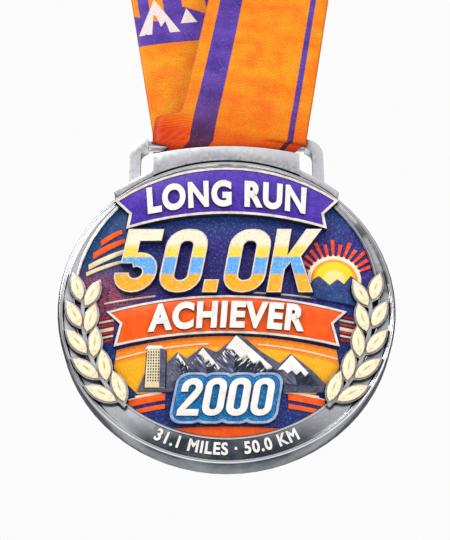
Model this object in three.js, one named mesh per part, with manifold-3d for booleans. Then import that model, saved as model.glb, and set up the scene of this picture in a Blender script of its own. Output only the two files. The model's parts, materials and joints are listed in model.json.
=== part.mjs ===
// A round finisher medal, 85 mm across, hanging from a 35 mm neck ribbon.
// Millimetres, +Z up. The medal faces -Y, and the origin is where the ribbon rests on the back of the neck.
import * as THREE from "three";
import { mergeVertices } from "three/addons/utils/BufferGeometryUtils.js";
import Module from "manifold-3d";

const wasm = await Module();
wasm.setup();

// ---- Driving dimensions -------------------------------------------------------------------------
// The medal's own parts are drawn in a face frame: x right, y up from the disc's centre, z towards
// the viewer from the middle of the disc's thickness.
const DISC_RADIUS = 42.5;
const DISC_THICKNESS = 7.5;
const EDGE_CHAMFER = 0.4; // on the two outer edges of the rim
const LIP_WIDTH = 0.9; // the bright lip that runs round the front
const BAND_DROP = 0.45; // the band lies this far below the lip
const FIELD_RADIUS = DISC_RADIUS * 0.8945; // the sunken picture field
const FIELD_RISE = DISC_RADIUS * 0.0594; // its centre is above the disc's: a wide band at the foot
const ART_DROP = DISC_RADIUS * 0.033; // the artwork's middle is a little below the disc's
const FIELD_DEPTH = 2.0; // below the lip
const BACK_RADIUS = DISC_RADIUS - 4; // the sunken panel of the back
const BACK_DEPTH = 1.3;

const GLUE_GAP = 0.05; // between pieces that are bonded face to face
const ENAMEL = 0.6; // depth of the field's enamel
const STEP_HEIGHT = 0.95; // plates that lap over the band stand this far above it
const INLAY_DEPTH = 0.35; // enamel let into a plate
const INLAY_DROP = 0.12; // and how far it stays below the plate's edge
const OUTLINE = 0.7; // width of the bare metal edge round an inlay
const SIDE_CLEARANCE = 0.25; // round a plate that is let into a thin relief

const RIBBON_WIDTH = 35;
const RIBBON_THICKNESS = 0.8;
const RIBBON_BAR_CLEARANCE = 0.3;

const BAR_RADIUS = 1.5; // the hanger's top bar, round where the ribbon turns on it
const BAR_HEIGHT = DISC_RADIUS + 6.8; // its axis above the disc's centre
const HANGER_HALF_WIDTH = RIBBON_WIDTH / 2 + 8.5;
const HANGER_LEG = 2.9;
const HANGER_THICKNESS = 3.2;
const HANGER_CORNER = 5.2;
const SADDLE_RISE = 1.65; // the foot of the hanger, bent round the rim
const SADDLE_REACH = 6; // degrees that it runs past each leg
const SADDLE_BACK = -2.6;
const SADDLE_FRONT = 3.5;
const TAB_HALF_WIDTH = HANGER_HALF_WIDTH - 6.6; // the tab that stands up in front of the slot
const TAB_BACK = 3.0;
const TAB_FRONT = 4.0;
const TAB_RISE = 4.4; // above the rim at its middle
const TAB_END_RISE = 2.0; // its top edge's ends, above the rim's top

const RIBBON_JOIN = 0.3; // between the solids that stand for one strap
const TAIL_LENGTH = 262; // each tail, from the bar to the collar bone
const TAIL_SHIFT = 2.6; // the front tail starts this far right of the middle, the back one left
const TAIL_SPREAD = 8.7; // degrees that each tail leans aside
const SPREAD_OVER = 12; // length in which a tail turns to that lean
const CHEST_LEAN = 8; // degrees that the tails lean back
const TAILS_PART_AT = 112; // the tails have passed each other here
const TAILS_LEVEL_AT = 215; // and lie in one plane here
const LAP_LENGTH = 14; // the sewn lap that closes the strap
const LAP_START = 9;

const ARC_STEPS = 14;
const ROUND_STEPS = 72;

// Heights in the face frame that follow from those.
const lipTop = DISC_THICKNESS / 2;
const bandTop = lipTop - BAND_DROP;
const fieldFloor = lipTop - FIELD_DEPTH;
const enamelTop = fieldFloor + GLUE_GAP + ENAMEL;
const reliefBase = enamelTop + GLUE_GAP;
const bandBase = bandTop + GLUE_GAP;
const plateTop = bandTop + GLUE_GAP + STEP_HEIGHT;
const wrapRadius = BAR_RADIUS + RIBBON_BAR_CLEARANCE + RIBBON_THICKNESS / 2;

const degrees = THREE.MathUtils.degToRad;
const inDegrees = THREE.MathUtils.radToDeg;

// ---- Finishes -----------------------------------------------------------------------------------
function finish(color, roughness, metalness) {
  return new THREE.MeshStandardMaterial({ color, roughness, metalness });
}
const silver = finish(0xc4c7cc, 0.28, 1);
const silverDark = finish(0x596069, 0.4, 1);
const navy = finish(0x1b2f73, 0.35, 0);
const violet = finish(0x4a2fa6, 0.35, 0);
const orange = finish(0xff6a0a, 0.35, 0);
const amber = finish(0xffa214, 0.35, 0);
const cream = finish(0xf4e3b8, 0.4, 0);
const white = finish(0xf3f1ec, 0.4, 0);
const blue = finish(0x1187bd, 0.35, 0);
const slate = finish(0x5f6074, 0.45, 0);
const satin = finish(0xff7a12, 0.55, 0);

// ---- Solids -------------------------------------------------------------------------------------
function solidOf(geometry) {
  const bare = geometry.clone();
  bare.deleteAttribute("normal");
  bare.deleteAttribute("uv");
  const merged = mergeVertices(bare, 1e-4);
  return new wasm.Manifold(
    new wasm.Mesh({
      numProp: 3,
      vertProperties: merged.attributes.position.array,
      triVerts: new Uint32Array(merged.index.array),
    }),
  );
}

function geometryOf(solid) {
  const mesh = solid.getMesh();
  const geometry = new THREE.BufferGeometry();
  geometry.setAttribute("position", new THREE.BufferAttribute(mesh.vertProperties, 3));
  geometry.setIndex(new THREE.BufferAttribute(mesh.triVerts, 1));
  geometry.computeVertexNormals();
  return geometry;
}

function point(x, y) {
  return new THREE.Vector2(x, y);
}

// A prism over an outline, between two heights in the face frame.
function prism(outline, low, high, hole) {
  const shape = new THREE.Shape(outline);
  if (hole) shape.holes.push(new THREE.Path(hole));
  const made = new THREE.ExtrudeGeometry(shape, { depth: high - low, bevelEnabled: false });
  return solidOf(made.translate(0, 0, low));
}

// The artwork's outlines are drawn for a disc of this radius and are scaled to the disc.
const DRAWN_RADIUS = 41.25;
const artScale = DISC_RADIUS / DRAWN_RADIUS;
function relief(outline, low, high, hole) {
  return prism(outline, low, high, hole).scale([artScale, artScale, 1]).translate([0, -ART_DROP, 0]);
}

function disc(radius, low, high, y = 0, steps = ROUND_STEPS) {
  return prism(arc(0, y, radius, 0, 360 - 360 / steps, steps - 1), low, high);
}

// Points on an arc, from one angle to another in degrees.
function arc(x, y, radius, from, to, steps) {
  const made = [];
  for (let i = 0; i <= steps; i++) {
    const a = degrees(from + ((to - from) * i) / steps);
    made.push(point(x + radius * Math.cos(a), y + radius * Math.sin(a)));
  }
  return made;
}

// The arc through (-halfWidth, endHeight), (0, midHeight) and (halfWidth, endHeight), left to right.
function archPoints(halfWidth, endHeight, midHeight, steps = ARC_STEPS) {
  const rise = midHeight - endHeight;
  const radius = (halfWidth ** 2 + rise ** 2) / (2 * rise);
  const made = [];
  for (let i = 0; i <= steps; i++) {
    const x = halfWidth * (-1 + (2 * i) / steps);
    made.push(point(x, midHeight - radius + Math.sqrt(radius ** 2 - x ** 2)));
  }
  return made;
}

// An outline moved out by a distance, or in where it is negative. The outline runs anticlockwise.
function grown(outline, by) {
  if (THREE.ShapeUtils.isClockWise(outline)) outline = outline.slice().reverse();
  return outline.map((here, i) => {
    const before = outline.at(i - 1);
    const after = outline[(i + 1) % outline.length];
    const a = here.clone().sub(before).normalize();
    const b = after.clone().sub(here).normalize();
    const out = point(a.y + b.y, -a.x - b.x);
    return here.clone().add(out.multiplyScalar(by / (1 + a.dot(b))));
  });
}

function sheared(outline, slant, x = 0, y = 0) {
  return outline.map((p) => point(p.x + slant * p.y + x, p.y + y));
}

function roundedBox(left, bottom, right, top, radius, steps = 5) {
  return [
    ...arc(right - radius, bottom + radius, radius, -90, 0, steps),
    ...arc(right - radius, top - radius, radius, 0, 90, steps),
    ...arc(left + radius, top - radius, radius, 90, 180, steps),
    ...arc(left + radius, bottom + radius, radius, 180, 270, steps),
  ];
}

const medal = new THREE.Group(); // holds the face frame
function add(name, solid, material) {
  const mesh = new THREE.Mesh(geometryOf(solid), material);
  mesh.name = name;
  medal.add(mesh);
}

// ---- Disc ---------------------------------------------------------------------------------------
const lipInner = DISC_RADIUS - EDGE_CHAMFER - LIP_WIDTH;

function discSolid() {
  const backPanel = -lipTop + BACK_DEPTH;
  const profile = [
    point(0, backPanel),
    point(BACK_RADIUS - BACK_DEPTH / 2, backPanel),
    point(BACK_RADIUS, -lipTop),
    point(DISC_RADIUS - EDGE_CHAMFER, -lipTop),
    point(DISC_RADIUS, -lipTop + EDGE_CHAMFER),
    point(DISC_RADIUS, lipTop - EDGE_CHAMFER),
    point(DISC_RADIUS - EDGE_CHAMFER, lipTop),
    point(lipInner, lipTop),
    point(lipInner - BAND_DROP / 2, bandTop),
    point(0, bandTop),
  ];
  const turned = new THREE.LatheGeometry(profile, ROUND_STEPS).rotateX(Math.PI / 2);
  return solidOf(turned).subtract(disc(FIELD_RADIUS, fieldFloor, lipTop + 1, FIELD_RISE));
}

const fieldBody = (inset, low, high) => disc(FIELD_RADIUS - inset, low, high, FIELD_RISE);

// A plate that laps over the band and the lip, with a foot that goes down to the field's enamel.
const lipRing = disc(DISC_RADIUS + 1, 0, lipTop + GLUE_GAP).subtract(
  disc(lipInner - BAND_DROP, -1, lipTop * 2),
);
function lappedPlate(outline, top) {
  const inField = fieldBody(SIDE_CLEARANCE * 2, 0, lipTop * 2);
  const foot = relief(outline, reliefBase, top).intersect(inField);
  return relief(outline, bandBase, top).subtract(lipRing).add(foot);
}

// Cuts the bed for an inlay into a plate, and gives the inlay that fills it.
function inlaid(plate, outline, top) {
  const bed = relief(grown(outline, -OUTLINE), top - INLAY_DEPTH, top + 1);
  const fill = relief(
    grown(outline, -OUTLINE - GLUE_GAP),
    top - INLAY_DEPTH + GLUE_GAP,
    top - INLAY_DROP,
  );
  return [plate.subtract(bed), fill];
}

// ---- Banners ------------------------------------------------------------------------------------
const UPPER_BANNER = {
  tip: [28.4, 30.2],
  topMiddle: 40.2,
  notch: [24.6, 26.3],
  corner: [25.2, 22.0],
  bottomMiddle: 26.4,
};
const LOWER_BANNER = {
  tip: [29.4, -0.8],
  topMiddle: 3.7,
  notch: [25.9, -4.1],
  corner: [27.2, -10.2],
  bottomMiddle: -6.6,
};

function bannerOutline(b) {
  const [notchX, notchY] = b.notch;
  return [
    ...archPoints(b.tip[0], b.tip[1], b.topMiddle),
    point(notchX, notchY),
    ...archPoints(b.corner[0], b.corner[1], b.bottomMiddle).reverse(),
    point(-notchX, notchY),
  ];
}

const upperOutline = bannerOutline(UPPER_BANNER);
const lowerOutline = bannerOutline(LOWER_BANNER);
const lowerBannerTop = 3.7;

// ---- Figures ------------------------------------------------------------------------------------
// Each figure is drawn on a cell of this height, and then leans to the right.
const FIGURE_SLANT = 0.17;
function figureCell(height, widthShare, strokeShare, line) {
  return { height, width: height * widthShare, stroke: height * strokeShare, slant: FIGURE_SLANT, ...line };
}
const NUMERAL = figureCell(17.9, 0.585, 0.205, { baseline: 4.0, middle: -2.2, gap: 0.8 });
const YEAR = figureCell(9.6, 0.53, 0.18, { baseline: -28.3, middle: 0, gap: 0.55 });
const numeralTop = 4.5;
const yearPlaqueTop = 4.1;
const yearDigitTop = 4.75;
const PLAQUE_MARGIN = 1.7;

function zeroFigure(c) {
  const outer = roundedBox(0, 0, c.width, c.height, c.width * 0.46);
  const s = c.stroke;
  const hole = roundedBox(s, s * 0.95, c.width - s, c.height - s * 0.95, (c.width - 2 * s) * 0.45);
  return [outer, hole];
}

function fiveFigure(c) {
  const { width: w, height: h, stroke: s } = c;
  const bowl = h * 0.33;
  const outer = [
    point(w * 0.1, h),
    point(w * 0.1, h * 0.45),
    point(s + w * 0.02, h * 0.45),
    ...arc(w / 2, bowl - s * 0.1, w / 2 - s, 125, -180, 12),
    point(0, bowl - s * 0.1),
    ...arc(w / 2, w / 2, w / 2, 195, 360, 9),
    ...arc(w / 2, h * 0.63 - w / 2, w / 2, 0, 90, 6),
    point(w * 0.1 + s, h * 0.62),
    point(w * 0.1 + s, h - s * 0.95),
    point(w * 0.96, h - s * 0.95),
    point(w * 0.96, h),
  ];
  return [outer];
}

function twoFigure(c) {
  const { width: w, height: h, stroke: s } = c;
  const head = h - w / 2;
  const outer = [
    point(0, 0),
    point(w, 0),
    point(w, s),
    point(s * 1.15, s),
    point(w - s * 0.45, h * 0.5),
    ...arc(w / 2, head, w / 2, -20, 180, 10),
    point(0, head - s * 0.6),
    point(s, head - s * 0.6),
    ...arc(w / 2, head, w / 2 - s, 180, -35, 9),
    point(0, s * 0.9),
  ];
  return [outer];
}

function kFigure(c) {
  const { width: w, height: h, stroke: s } = c;
  const outer = [
    point(0, 0),
    point(s, 0),
    point(s, h * 0.36),
    point(s * 1.3, h * 0.46),
    point(w * 1.1 - s, 0),
    point(w * 1.1, 0),
    point(w * 0.68, h * 0.56),
    point(w * 1.08, h),
    point(w * 1.05 - s, h),
    point(s, h * 0.58),
    point(s, h),
    point(0, h),
  ];
  return [outer];
}

function pointFigure(c) {
  return [[point(0, 0), point(c.stroke, 0), point(c.stroke, c.stroke), point(0, c.stroke)]];
}

// Sets figures on a line and gives each one's name, outline and hole.
function setLine(cell, figures) {
  const widths = figures.map((f) => f.width);
  const total = widths.reduce((a, b) => a + b) + cell.gap * (figures.length - 1);
  let x = cell.middle - total / 2 - (cell.slant * cell.height) / 2;
  return figures.map((f) => {
    const placed = f.draw(cell).map((o) => sheared(o, cell.slant, x, cell.baseline));
    x += f.width + cell.gap;
    return { name: f.name, outline: placed[0], hole: placed[1] };
  });
}

const numerals = setLine(NUMERAL, [
  { name: "numeral_five", draw: fiveFigure, width: NUMERAL.width },
  { name: "numeral_zero_left", draw: zeroFigure, width: NUMERAL.width },
  { name: "numeral_point", draw: pointFigure, width: NUMERAL.stroke },
  { name: "numeral_zero_right", draw: zeroFigure, width: NUMERAL.width },
  { name: "numeral_k", draw: kFigure, width: NUMERAL.width * 1.1 },
]);
const yearDigits = setLine(
  YEAR,
  [twoFigure, zeroFigure, zeroFigure, zeroFigure].map((draw, i) => {
    return { name: `year_digit_${i + 1}`, draw, width: YEAR.width };
  }),
);

// The plaque is one rounded cell behind each digit, run together.
function plaqueSolid(margin, low, high) {
  const step = YEAR.width + YEAR.gap;
  const start = -(4 * YEAR.width + 3 * YEAR.gap) / 2 - (YEAR.slant * YEAR.height) / 2;
  let made;
  for (let i = 0; i < 4; i++) {
    const cell = roundedBox(
      -margin, -margin, YEAR.width + margin, YEAR.height + margin, (YEAR.width + margin) * 0.42,
    );
    const one = relief(sheared(cell, YEAR.slant, start + i * step, YEAR.baseline), low, high);
    made = made ? made.add(one) : one;
  }
  return made;
}

// ---- Laurel -------------------------------------------------------------------------------------
const LAUREL = {
  radius: 35.0, // of the stem
  first: 177, // degrees, where the top pair of leaves starts
  step: 11.6,
  pairs: 5,
  stem: 0.9,
  outerTurn: 20,
  innerTurn: -24,
  length: 7.6,
  lengthStep: 0.2, // each lower pair is longer
  width: 3.3,
  border: 0.35,
};

function leafOutline(pair, outer, border) {
  const turn = outer ? LAUREL.outerTurn : LAUREL.innerTurn;
  const angle = LAUREL.first + LAUREL.step * pair + (outer ? 0 : 2.5);
  const length = LAUREL.length + LAUREL.lengthStep * pair;
  const half = LAUREL.width / 2;
  const leaf = new THREE.Shape();
  leaf.moveTo(0, 0);
  leaf.bezierCurveTo(length * 0.2, -half * 1.25, length * 0.65, -half * 1.45, length, 0);
  leaf.bezierCurveTo(length * 0.65, half * 1.3, length * 0.2, half * 1.1, 0, 0);
  const flat = grown(leaf.getPoints(6).slice(0, -1), border);
  const at = degrees(angle);
  const heading = degrees(angle - 90 + turn);
  const radius = LAUREL.radius + (outer ? 0.6 : -0.6);
  return flat.map((p) => {
    const q = p.clone().rotateAround(point(0, 0), heading);
    return point(q.x + radius * Math.cos(at), q.y + radius * Math.sin(at));
  });
}

const mirrored = (outline) => outline.map((p) => point(-p.x, p.y)).reverse();
const sided = (outline, side) => (side === "left" ? outline : mirrored(outline));

function stemOutline(border) {
  const half = LAUREL.stem / 2 + border;
  const from = LAUREL.first - 3;
  const to = LAUREL.first + LAUREL.step * (LAUREL.pairs - 1) + 4;
  return [
    ...arc(0, 0, LAUREL.radius + half, from, to, 10),
    ...arc(0, 0, LAUREL.radius - half, to, from, 10),
  ];
}

function laurelParts(side, border, build) {
  let made = build(sided(stemOutline(border - LAUREL.border), side));
  for (let pair = 0; pair < LAUREL.pairs; pair++)
    for (const outer of [true, false])
      made = made.add(build(sided(leafOutline(pair, outer, border), side)));
  return made;
}

// ---- Picture field ------------------------------------------------------------------------------
const SUN = { x: 26.6, y: 8.3, radius: 5.6, burst: 6.7, rays: 13, ray: 4.6, rayWidth: 1.05 };
const skyTop = reliefBase + 0.25;
const hillTop = reliefBase + 0.8;
const rangeTop = skyTop + GLUE_GAP + 0.55;

function sunBurst() {
  let made = relief(
    [...arc(SUN.x, SUN.y, SUN.burst, -8, 188, 16), ...arc(SUN.x, SUN.y, SUN.radius + 0.1, 188, -8, 16)],
    reliefBase, reliefBase + 0.3,
  );
  for (let i = 0; i < SUN.rays; i++) {
    const a = degrees(22 + (136 * i) / (SUN.rays - 1));
    const long = SUN.ray * (i % 2 ? 0.75 : 1);
    const half = SUN.rayWidth / 2;
    const ray = [[SUN.burst - 0.4, -half * 0.5], [SUN.burst + long, -half],
      [SUN.burst + long, half], [SUN.burst - 0.4, half * 0.5]];
    const placed = ray.map(([r, w]) => {
      const q = point(r, w).rotateAround(point(0, 0), a);
      return point(q.x + SUN.x, q.y + SUN.y);
    });
    made = made.add(relief(placed, reliefBase, reliefBase + 0.3));
  }
  return made;
}

const hillsOutline = [
  [19.6, 4.6], [21.6, 8.2], [22.8, 9.0], [25.4, 6.4], [27.4, 8.1], [29.0, 6.6], [30.8, 9.0],
  [35.6, 3.4], [34.4, 0.4], [20.6, 3.4],
].map(([x, y]) => point(x, y));
const rangeOutline = [
  [-21.2, -21.6], [-19.4, -16.6], [-15.4, -15.6], [-11.8, -11.4], [-9.6, -13.2], [-5.8, -9.9],
  [-2.4, -11.4], [3.2, -6.6], [8.2, -11.2], [12.8, -14.4], [15.4, -11.8], [20.4, -16.2], [25.2, -21.8],
].map(([x, y]) => point(x, y));
const skyOutline = [
  ...archPoints(26.4, -10.6, -6.9),
  point(27.0, -15.4), point(23.6, -19.6),
  ...archPoints(21.0, -22.1, -20.9).reverse(),
  point(-23.6, -19.6), point(-27.0, -15.4),
];
const TOWER = { left: -19.4, right: -14.6, foot: -20.6, roof: -10.2 };
const towerOutline = [
  point(TOWER.left, TOWER.foot),
  point(TOWER.right, TOWER.foot),
  point(TOWER.right, TOWER.roof - 0.8),
  point(TOWER.right - 1.6, TOWER.roof),
  point(TOWER.left + 0.4, TOWER.roof - 0.3),
];

// A stripe that follows an arch, from one x to another.
function stripeOutline(arch, from, to, width) {
  const curve = archPoints(arch.halfWidth, arch.end, arch.middle, 40);
  const top = curve.filter((p) => p.x >= from && p.x <= to);
  return [...top, ...top.map((p) => point(p.x, p.y - width)).reverse()];
}
const LOWER_STRIPES = {
  upper: { arch: { halfWidth: 29, end: -25.4, middle: -20.6 }, from: 13.4, to: 26.4, width: 1.75 },
  lower: { arch: { halfWidth: 29, end: -28.2, middle: -23.3 }, from: 13.4, to: 23.6, width: 1.15 },
};

// A curved streak that narrows to its right end.
function streakOutline(x0, y0, x1, y1, width) {
  const streak = new THREE.Shape();
  const middleX = (x0 + x1) / 2;
  const lift = (y1 - y0) * 0.22;
  streak.moveTo(x0, y0);
  streak.quadraticCurveTo(middleX, (y0 + y1) / 2 + lift, x1, y1);
  streak.lineTo(x1 + 0.3, y1 - width * 0.7);
  streak.quadraticCurveTo(middleX, (y0 + y1) / 2 + lift - width * 1.15, x0 + 0.2, y0 - width);
  return streak.getPoints(6);
}
const STREAKS = [
  { from: [-31.6, 19.4], to: [-26.4, 22.6], width: 1.5, material: orange },
  { from: [-33.4, 15.8], to: [-25.6, 20.0], width: 1.6, material: orange },
  { from: [-34.4, 12.6], to: [-24.0, 17.4], width: 1.4, material: cream },
  { from: [-34.9, 10.4], to: [-25.8, 13.9], width: 1.0, material: cream },
];

// ---- Medal assembly -----------------------------------------------------------------------------
add("medal_disc", discSolid(), silver);
add("field_enamel", fieldBody(GLUE_GAP, fieldFloor + GLUE_GAP, enamelTop), navy);

const [upperPlate, upperFill] = inlaid(lappedPlate(upperOutline, plateTop), upperOutline, plateTop);
add("upper_banner", upperPlate, silver);
add("upper_banner_enamel", upperFill, violet);

const [lowerPlate, lowerFill] = inlaid(
  relief(lowerOutline, reliefBase, lowerBannerTop), lowerOutline, lowerBannerTop,
);
add("lower_banner", lowerPlate, silver);
add("lower_banner_enamel", lowerFill, orange);

for (const n of numerals) add(n.name, relief(n.outline, reliefBase, numeralTop, n.hole), amber);

const plaqueBed = plaqueSolid(PLAQUE_MARGIN - OUTLINE, yearPlaqueTop - INLAY_DEPTH, yearPlaqueTop + 1);
add("year_plaque", plaqueSolid(PLAQUE_MARGIN, reliefBase, yearPlaqueTop).subtract(plaqueBed), silver);
const plaqueFillTop = yearPlaqueTop - INLAY_DROP;
add(
  "year_plaque_enamel",
  plaqueSolid(PLAQUE_MARGIN - OUTLINE - GLUE_GAP, yearPlaqueTop - INLAY_DEPTH + GLUE_GAP, plaqueFillTop),
  blue,
);
for (const d of yearDigits)
  add(d.name, relief(d.outline, plaqueFillTop + GLUE_GAP, yearDigitTop, d.hole), white);

for (const side of ["left", "right"]) {
  add(`laurel_${side}`, laurelParts(side, LAUREL.border, (o) => lappedPlate(o, plateTop)), silverDark);
  for (let i = 0; i < LAUREL.pairs * 2; i++) {
    const leaf = leafOutline(Math.floor(i / 2), i % 2 === 0, -GLUE_GAP);
    const number = String(i + 1).padStart(2, "0");
    const enamel = relief(sided(leaf, side), plateTop + GLUE_GAP, plateTop + 0.4);
    add(`leaf_enamel_${side}_${number}`, enamel, cream);
  }
}

// Thin reliefs stop short of the thick ones that stand among them.
const cutTop = lipTop * 2;
const plaqueCut = plaqueSolid(PLAQUE_MARGIN + SIDE_CLEARANCE, 0, cutTop);
const towerCut = relief(grown(towerOutline, SIDE_CLEARANCE), 0, cutTop);
const lowerCut = relief(grown(lowerOutline, SIDE_CLEARANCE), 0, cutTop);
const upperCut = relief(grown(upperOutline, SIDE_CLEARANCE), 0, cutTop);
const hillsCut = relief(grown(hillsOutline, SIDE_CLEARANCE), 0, cutTop);
const laurelCut = (side) =>
  laurelParts(side, LAUREL.border + SIDE_CLEARANCE, (o) => relief(o, 0, cutTop));
const laurelCuts = laurelCut("left").add(laurelCut("right"));
const numeralCuts = numerals
  .map((n) => relief(grown(n.outline, SIDE_CLEARANCE), 0, cutTop))
  .reduce((a, b) => a.add(b));

function thinRelief(name, solid, material, ...cuts) {
  let made = solid.intersect(fieldBody(SIDE_CLEARANCE, 0, cutTop));
  for (const cut of cuts) made = made.subtract(cut);
  const largest = made.decompose().sort((a, b) => b.volume() - a.volume())[0];
  add(name, largest, material);
}

thinRelief(
  "sky_enamel", relief(skyOutline, reliefBase, skyTop), amber,
  lowerCut, laurelCuts, plaqueCut, towerCut,
);
thinRelief(
  "mountain_range", relief(rangeOutline, skyTop + GLUE_GAP, rangeTop), slate,
  lowerCut, laurelCuts, plaqueCut, towerCut,
);
add("tower", relief(towerOutline, reliefBase, rangeTop + 0.2).subtract(plaqueCut), cream);
thinRelief(
  "sunrise_hills", relief(hillsOutline, reliefBase, hillTop), navy,
  laurelCuts, lowerCut, numeralCuts,
);
thinRelief(
  "sun_disc", relief(arc(SUN.x, SUN.y, SUN.radius, 0, 350, 35), reliefBase, reliefBase + 0.5),
  amber, hillsCut, numeralCuts, laurelCuts,
);
thinRelief("sun_burst", sunBurst(), orange, hillsCut, numeralCuts, laurelCuts, upperCut);
STREAKS.forEach((s, i) => {
  const outline = streakOutline(...s.from, ...s.to, s.width);
  thinRelief(
    `sky_streak_${i + 1}`, relief(outline, reliefBase, reliefBase + 0.3), s.material,
    laurelCuts, upperCut, numeralCuts,
  );
});
for (const [level, s] of Object.entries(LOWER_STRIPES))
  for (const side of ["left", "right"]) {
    const outline = sided(stripeOutline(s.arch, -s.to, -s.from, s.width), side);
    thinRelief(
      `lower_stripe_${side}_${level}`, relief(outline, reliefBase, reliefBase + 0.3), orange,
      laurelCuts, plaqueCut,
    );
  }
const crescent = relief(
  [...archPoints(20, -31.6, -30.2), point(0, -45)], reliefBase, reliefBase + 0.3,
);
thinRelief("bottom_crescent", crescent, orange, plaqueCut);

// ---- Hanger -------------------------------------------------------------------------------------
function hangerSolid() {
  const half = HANGER_THICKNESS / 2;
  const barTop = BAR_HEIGHT + BAR_RADIUS;
  const barUnder = BAR_HEIGHT - BAR_RADIUS;
  const innerHalf = HANGER_HALF_WIDTH - HANGER_LEG;
  const foot = DISC_RADIUS * 0.6; // the disc cuts the legs off well above this
  const legAngle = inDegrees(Math.asin(HANGER_HALF_WIDTH / (DISC_RADIUS + SADDLE_RISE)));
  const saddleHalf = legAngle + SADDLE_REACH;
  const outer = roundedBox(-HANGER_HALF_WIDTH, foot, HANGER_HALF_WIDTH, barTop, HANGER_CORNER);
  const inner = roundedBox(-innerHalf, foot - 1, innerHalf, barUnder, HANGER_CORNER - HANGER_LEG);
  const barHalf = RIBBON_WIDTH / 2 + TAIL_SHIFT + 1;
  const corners = [
    point(-barHalf, BAR_HEIGHT - 3), point(barHalf, BAR_HEIGHT - 3),
    point(barHalf, BAR_HEIGHT + 3), point(-barHalf, BAR_HEIGHT + 3),
  ];
  const frame = prism(outer, -half, half)
    .subtract(prism(inner, -half - 1, half + 1))
    .subtract(prism(corners, -half - 1, half + 1));
  const rod = new THREE.CylinderGeometry(BAR_RADIUS, BAR_RADIUS, 2 * barHalf + 0.8, 16);
  const bar = solidOf(rod.rotateZ(Math.PI / 2).translate(0, BAR_HEIGHT, 0));
  const tab = [
    point(-TAB_HALF_WIDTH, foot),
    point(TAB_HALF_WIDTH, foot),
    ...archPoints(TAB_HALF_WIDTH, DISC_RADIUS + TAB_END_RISE, DISC_RADIUS + TAB_RISE).reverse(),
  ];
  const saddle = [
    ...arc(0, 0, DISC_RADIUS + SADDLE_RISE, 90 - saddleHalf, 90 + saddleHalf, 28),
    ...arc(0, 0, DISC_RADIUS - 1, 90 + saddleHalf, 90 - saddleHalf, 28),
  ];
  return frame
    .add(bar)
    .add(prism(tab, TAB_BACK, TAB_FRONT))
    .add(prism(saddle, SADDLE_BACK, SADDLE_FRONT))
    .subtract(disc(DISC_RADIUS + GLUE_GAP, -10, 10));
}
add("hanger_frame", hangerSolid(), silver);

// ---- Ribbon -------------------------------------------------------------------------------------
// Drawn in a chest frame whose origin is on the bar's axis: x right, y into the chest, z up the chest.
const ribbon = new THREE.Group();

// A strap through stations, each with its place, its direction and the way its outer face looks.
function strap(name, stations, width = RIBBON_WIDTH, thickness = RIBBON_THICKNESS) {
  const positions = [];
  for (const { place, along, face } of stations) {
    const across = along.clone().cross(face).normalize().multiplyScalar(width / 2);
    const out = across.clone().cross(along).normalize().multiplyScalar(thickness / 2);
    for (const [a, o] of [[-1, -1], [1, -1], [1, 1], [-1, 1]])
      positions.push(...place.clone().addScaledVector(across, a).addScaledVector(out, o).toArray());
  }
  const last = (stations.length - 1) * 4;
  const index = [0, 1, 2, 0, 2, 3, last, last + 2, last + 1, last, last + 3, last + 2];
  for (let s = 0; s < last; s += 4)
    for (let k = 0; k < 4; k++) {
      const n = (k + 1) % 4;
      index.push(s + k, s + 4 + n, s + n, s + k, s + 4 + k, s + 4 + n);
    }
  const geometry = new THREE.BufferGeometry();
  geometry.setAttribute("position", new THREE.Float32BufferAttribute(positions, 3));
  geometry.setIndex(index);
  geometry.computeVertexNormals();
  const mesh = new THREE.Mesh(geometry, satin);
  mesh.name = name;
  ribbon.add(mesh);
}

const vector = (x, y, z) => new THREE.Vector3(x, y, z);

// The turn under the bar, from the front of it to the back. It slants along the bar.
function wrapStations() {
  const made = [];
  for (let i = 0; i <= 12; i++) {
    const a = degrees(180 + 15 * i);
    const out = vector(0, Math.cos(a), Math.sin(a));
    made.push({
      place: out.clone().multiplyScalar(wrapRadius).setX(TAIL_SHIFT * (1 - i / 6)),
      along: vector(0, -Math.sin(a), Math.cos(a)),
      face: out,
    });
  }
  return made;
}

// One tail, from the bar up: side is 1 for the one that starts in front of the bar and leans right.
function tailStations(side, from, to, step) {
  const made = [];
  const place = vector(TAIL_SHIFT, 0, 0);
  const fine = 0.5;
  let next = from;
  for (let s = 0; s <= to + 1e-6; s += fine) {
    const turn = THREE.MathUtils.smoothstep(s, 0, SPREAD_OVER);
    const lean = degrees(TAIL_SPREAD) * turn;
    const level = 1 - THREE.MathUtils.smoothstep(s, TAILS_PART_AT, TAILS_LEVEL_AT);
    if (s >= next - 1e-6 || s + fine > to + 1e-6) {
      made.push({
        place: vector(side * place.x, -side * wrapRadius * level, place.z),
        along: vector(side * Math.sin(lean), 0, Math.cos(lean)),
        face: vector(0, -1, 0),
      });
      next += s < SPREAD_OVER + 6 ? Math.min(step, 3) : step;
    }
    place.x += Math.sin(lean) * fine;
    place.z += Math.cos(lean) * fine;
  }
  return made;
}

const { place: tailEnd, along: tailWay } = tailStations(1, 0, TAIL_LENGTH, 10).at(-1);

// Round the neck, from the right tail's end to the left one's, with the way the outer face looks.
const COLLAR = [
  { move: [0, 0, 0], face: [0, -1, 0] },
  { move: [2.8, 1.2, 17], face: [0.1, -0.95, 0.2] },
  { move: [7.6, 13, 32], face: [0.45, -0.62, 0.6] },
  { move: [9.6, 33, 43], face: [0.82, -0.2, 0.5] },
  { move: [4.0, 58, 52], face: [0.9, 0.25, 0.38] },
  { move: [-14, 84.5, 59.5], face: [0.6, 0.72, 0.32] },
];
const NAPE = { back: 92, rise: 62 };

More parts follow.
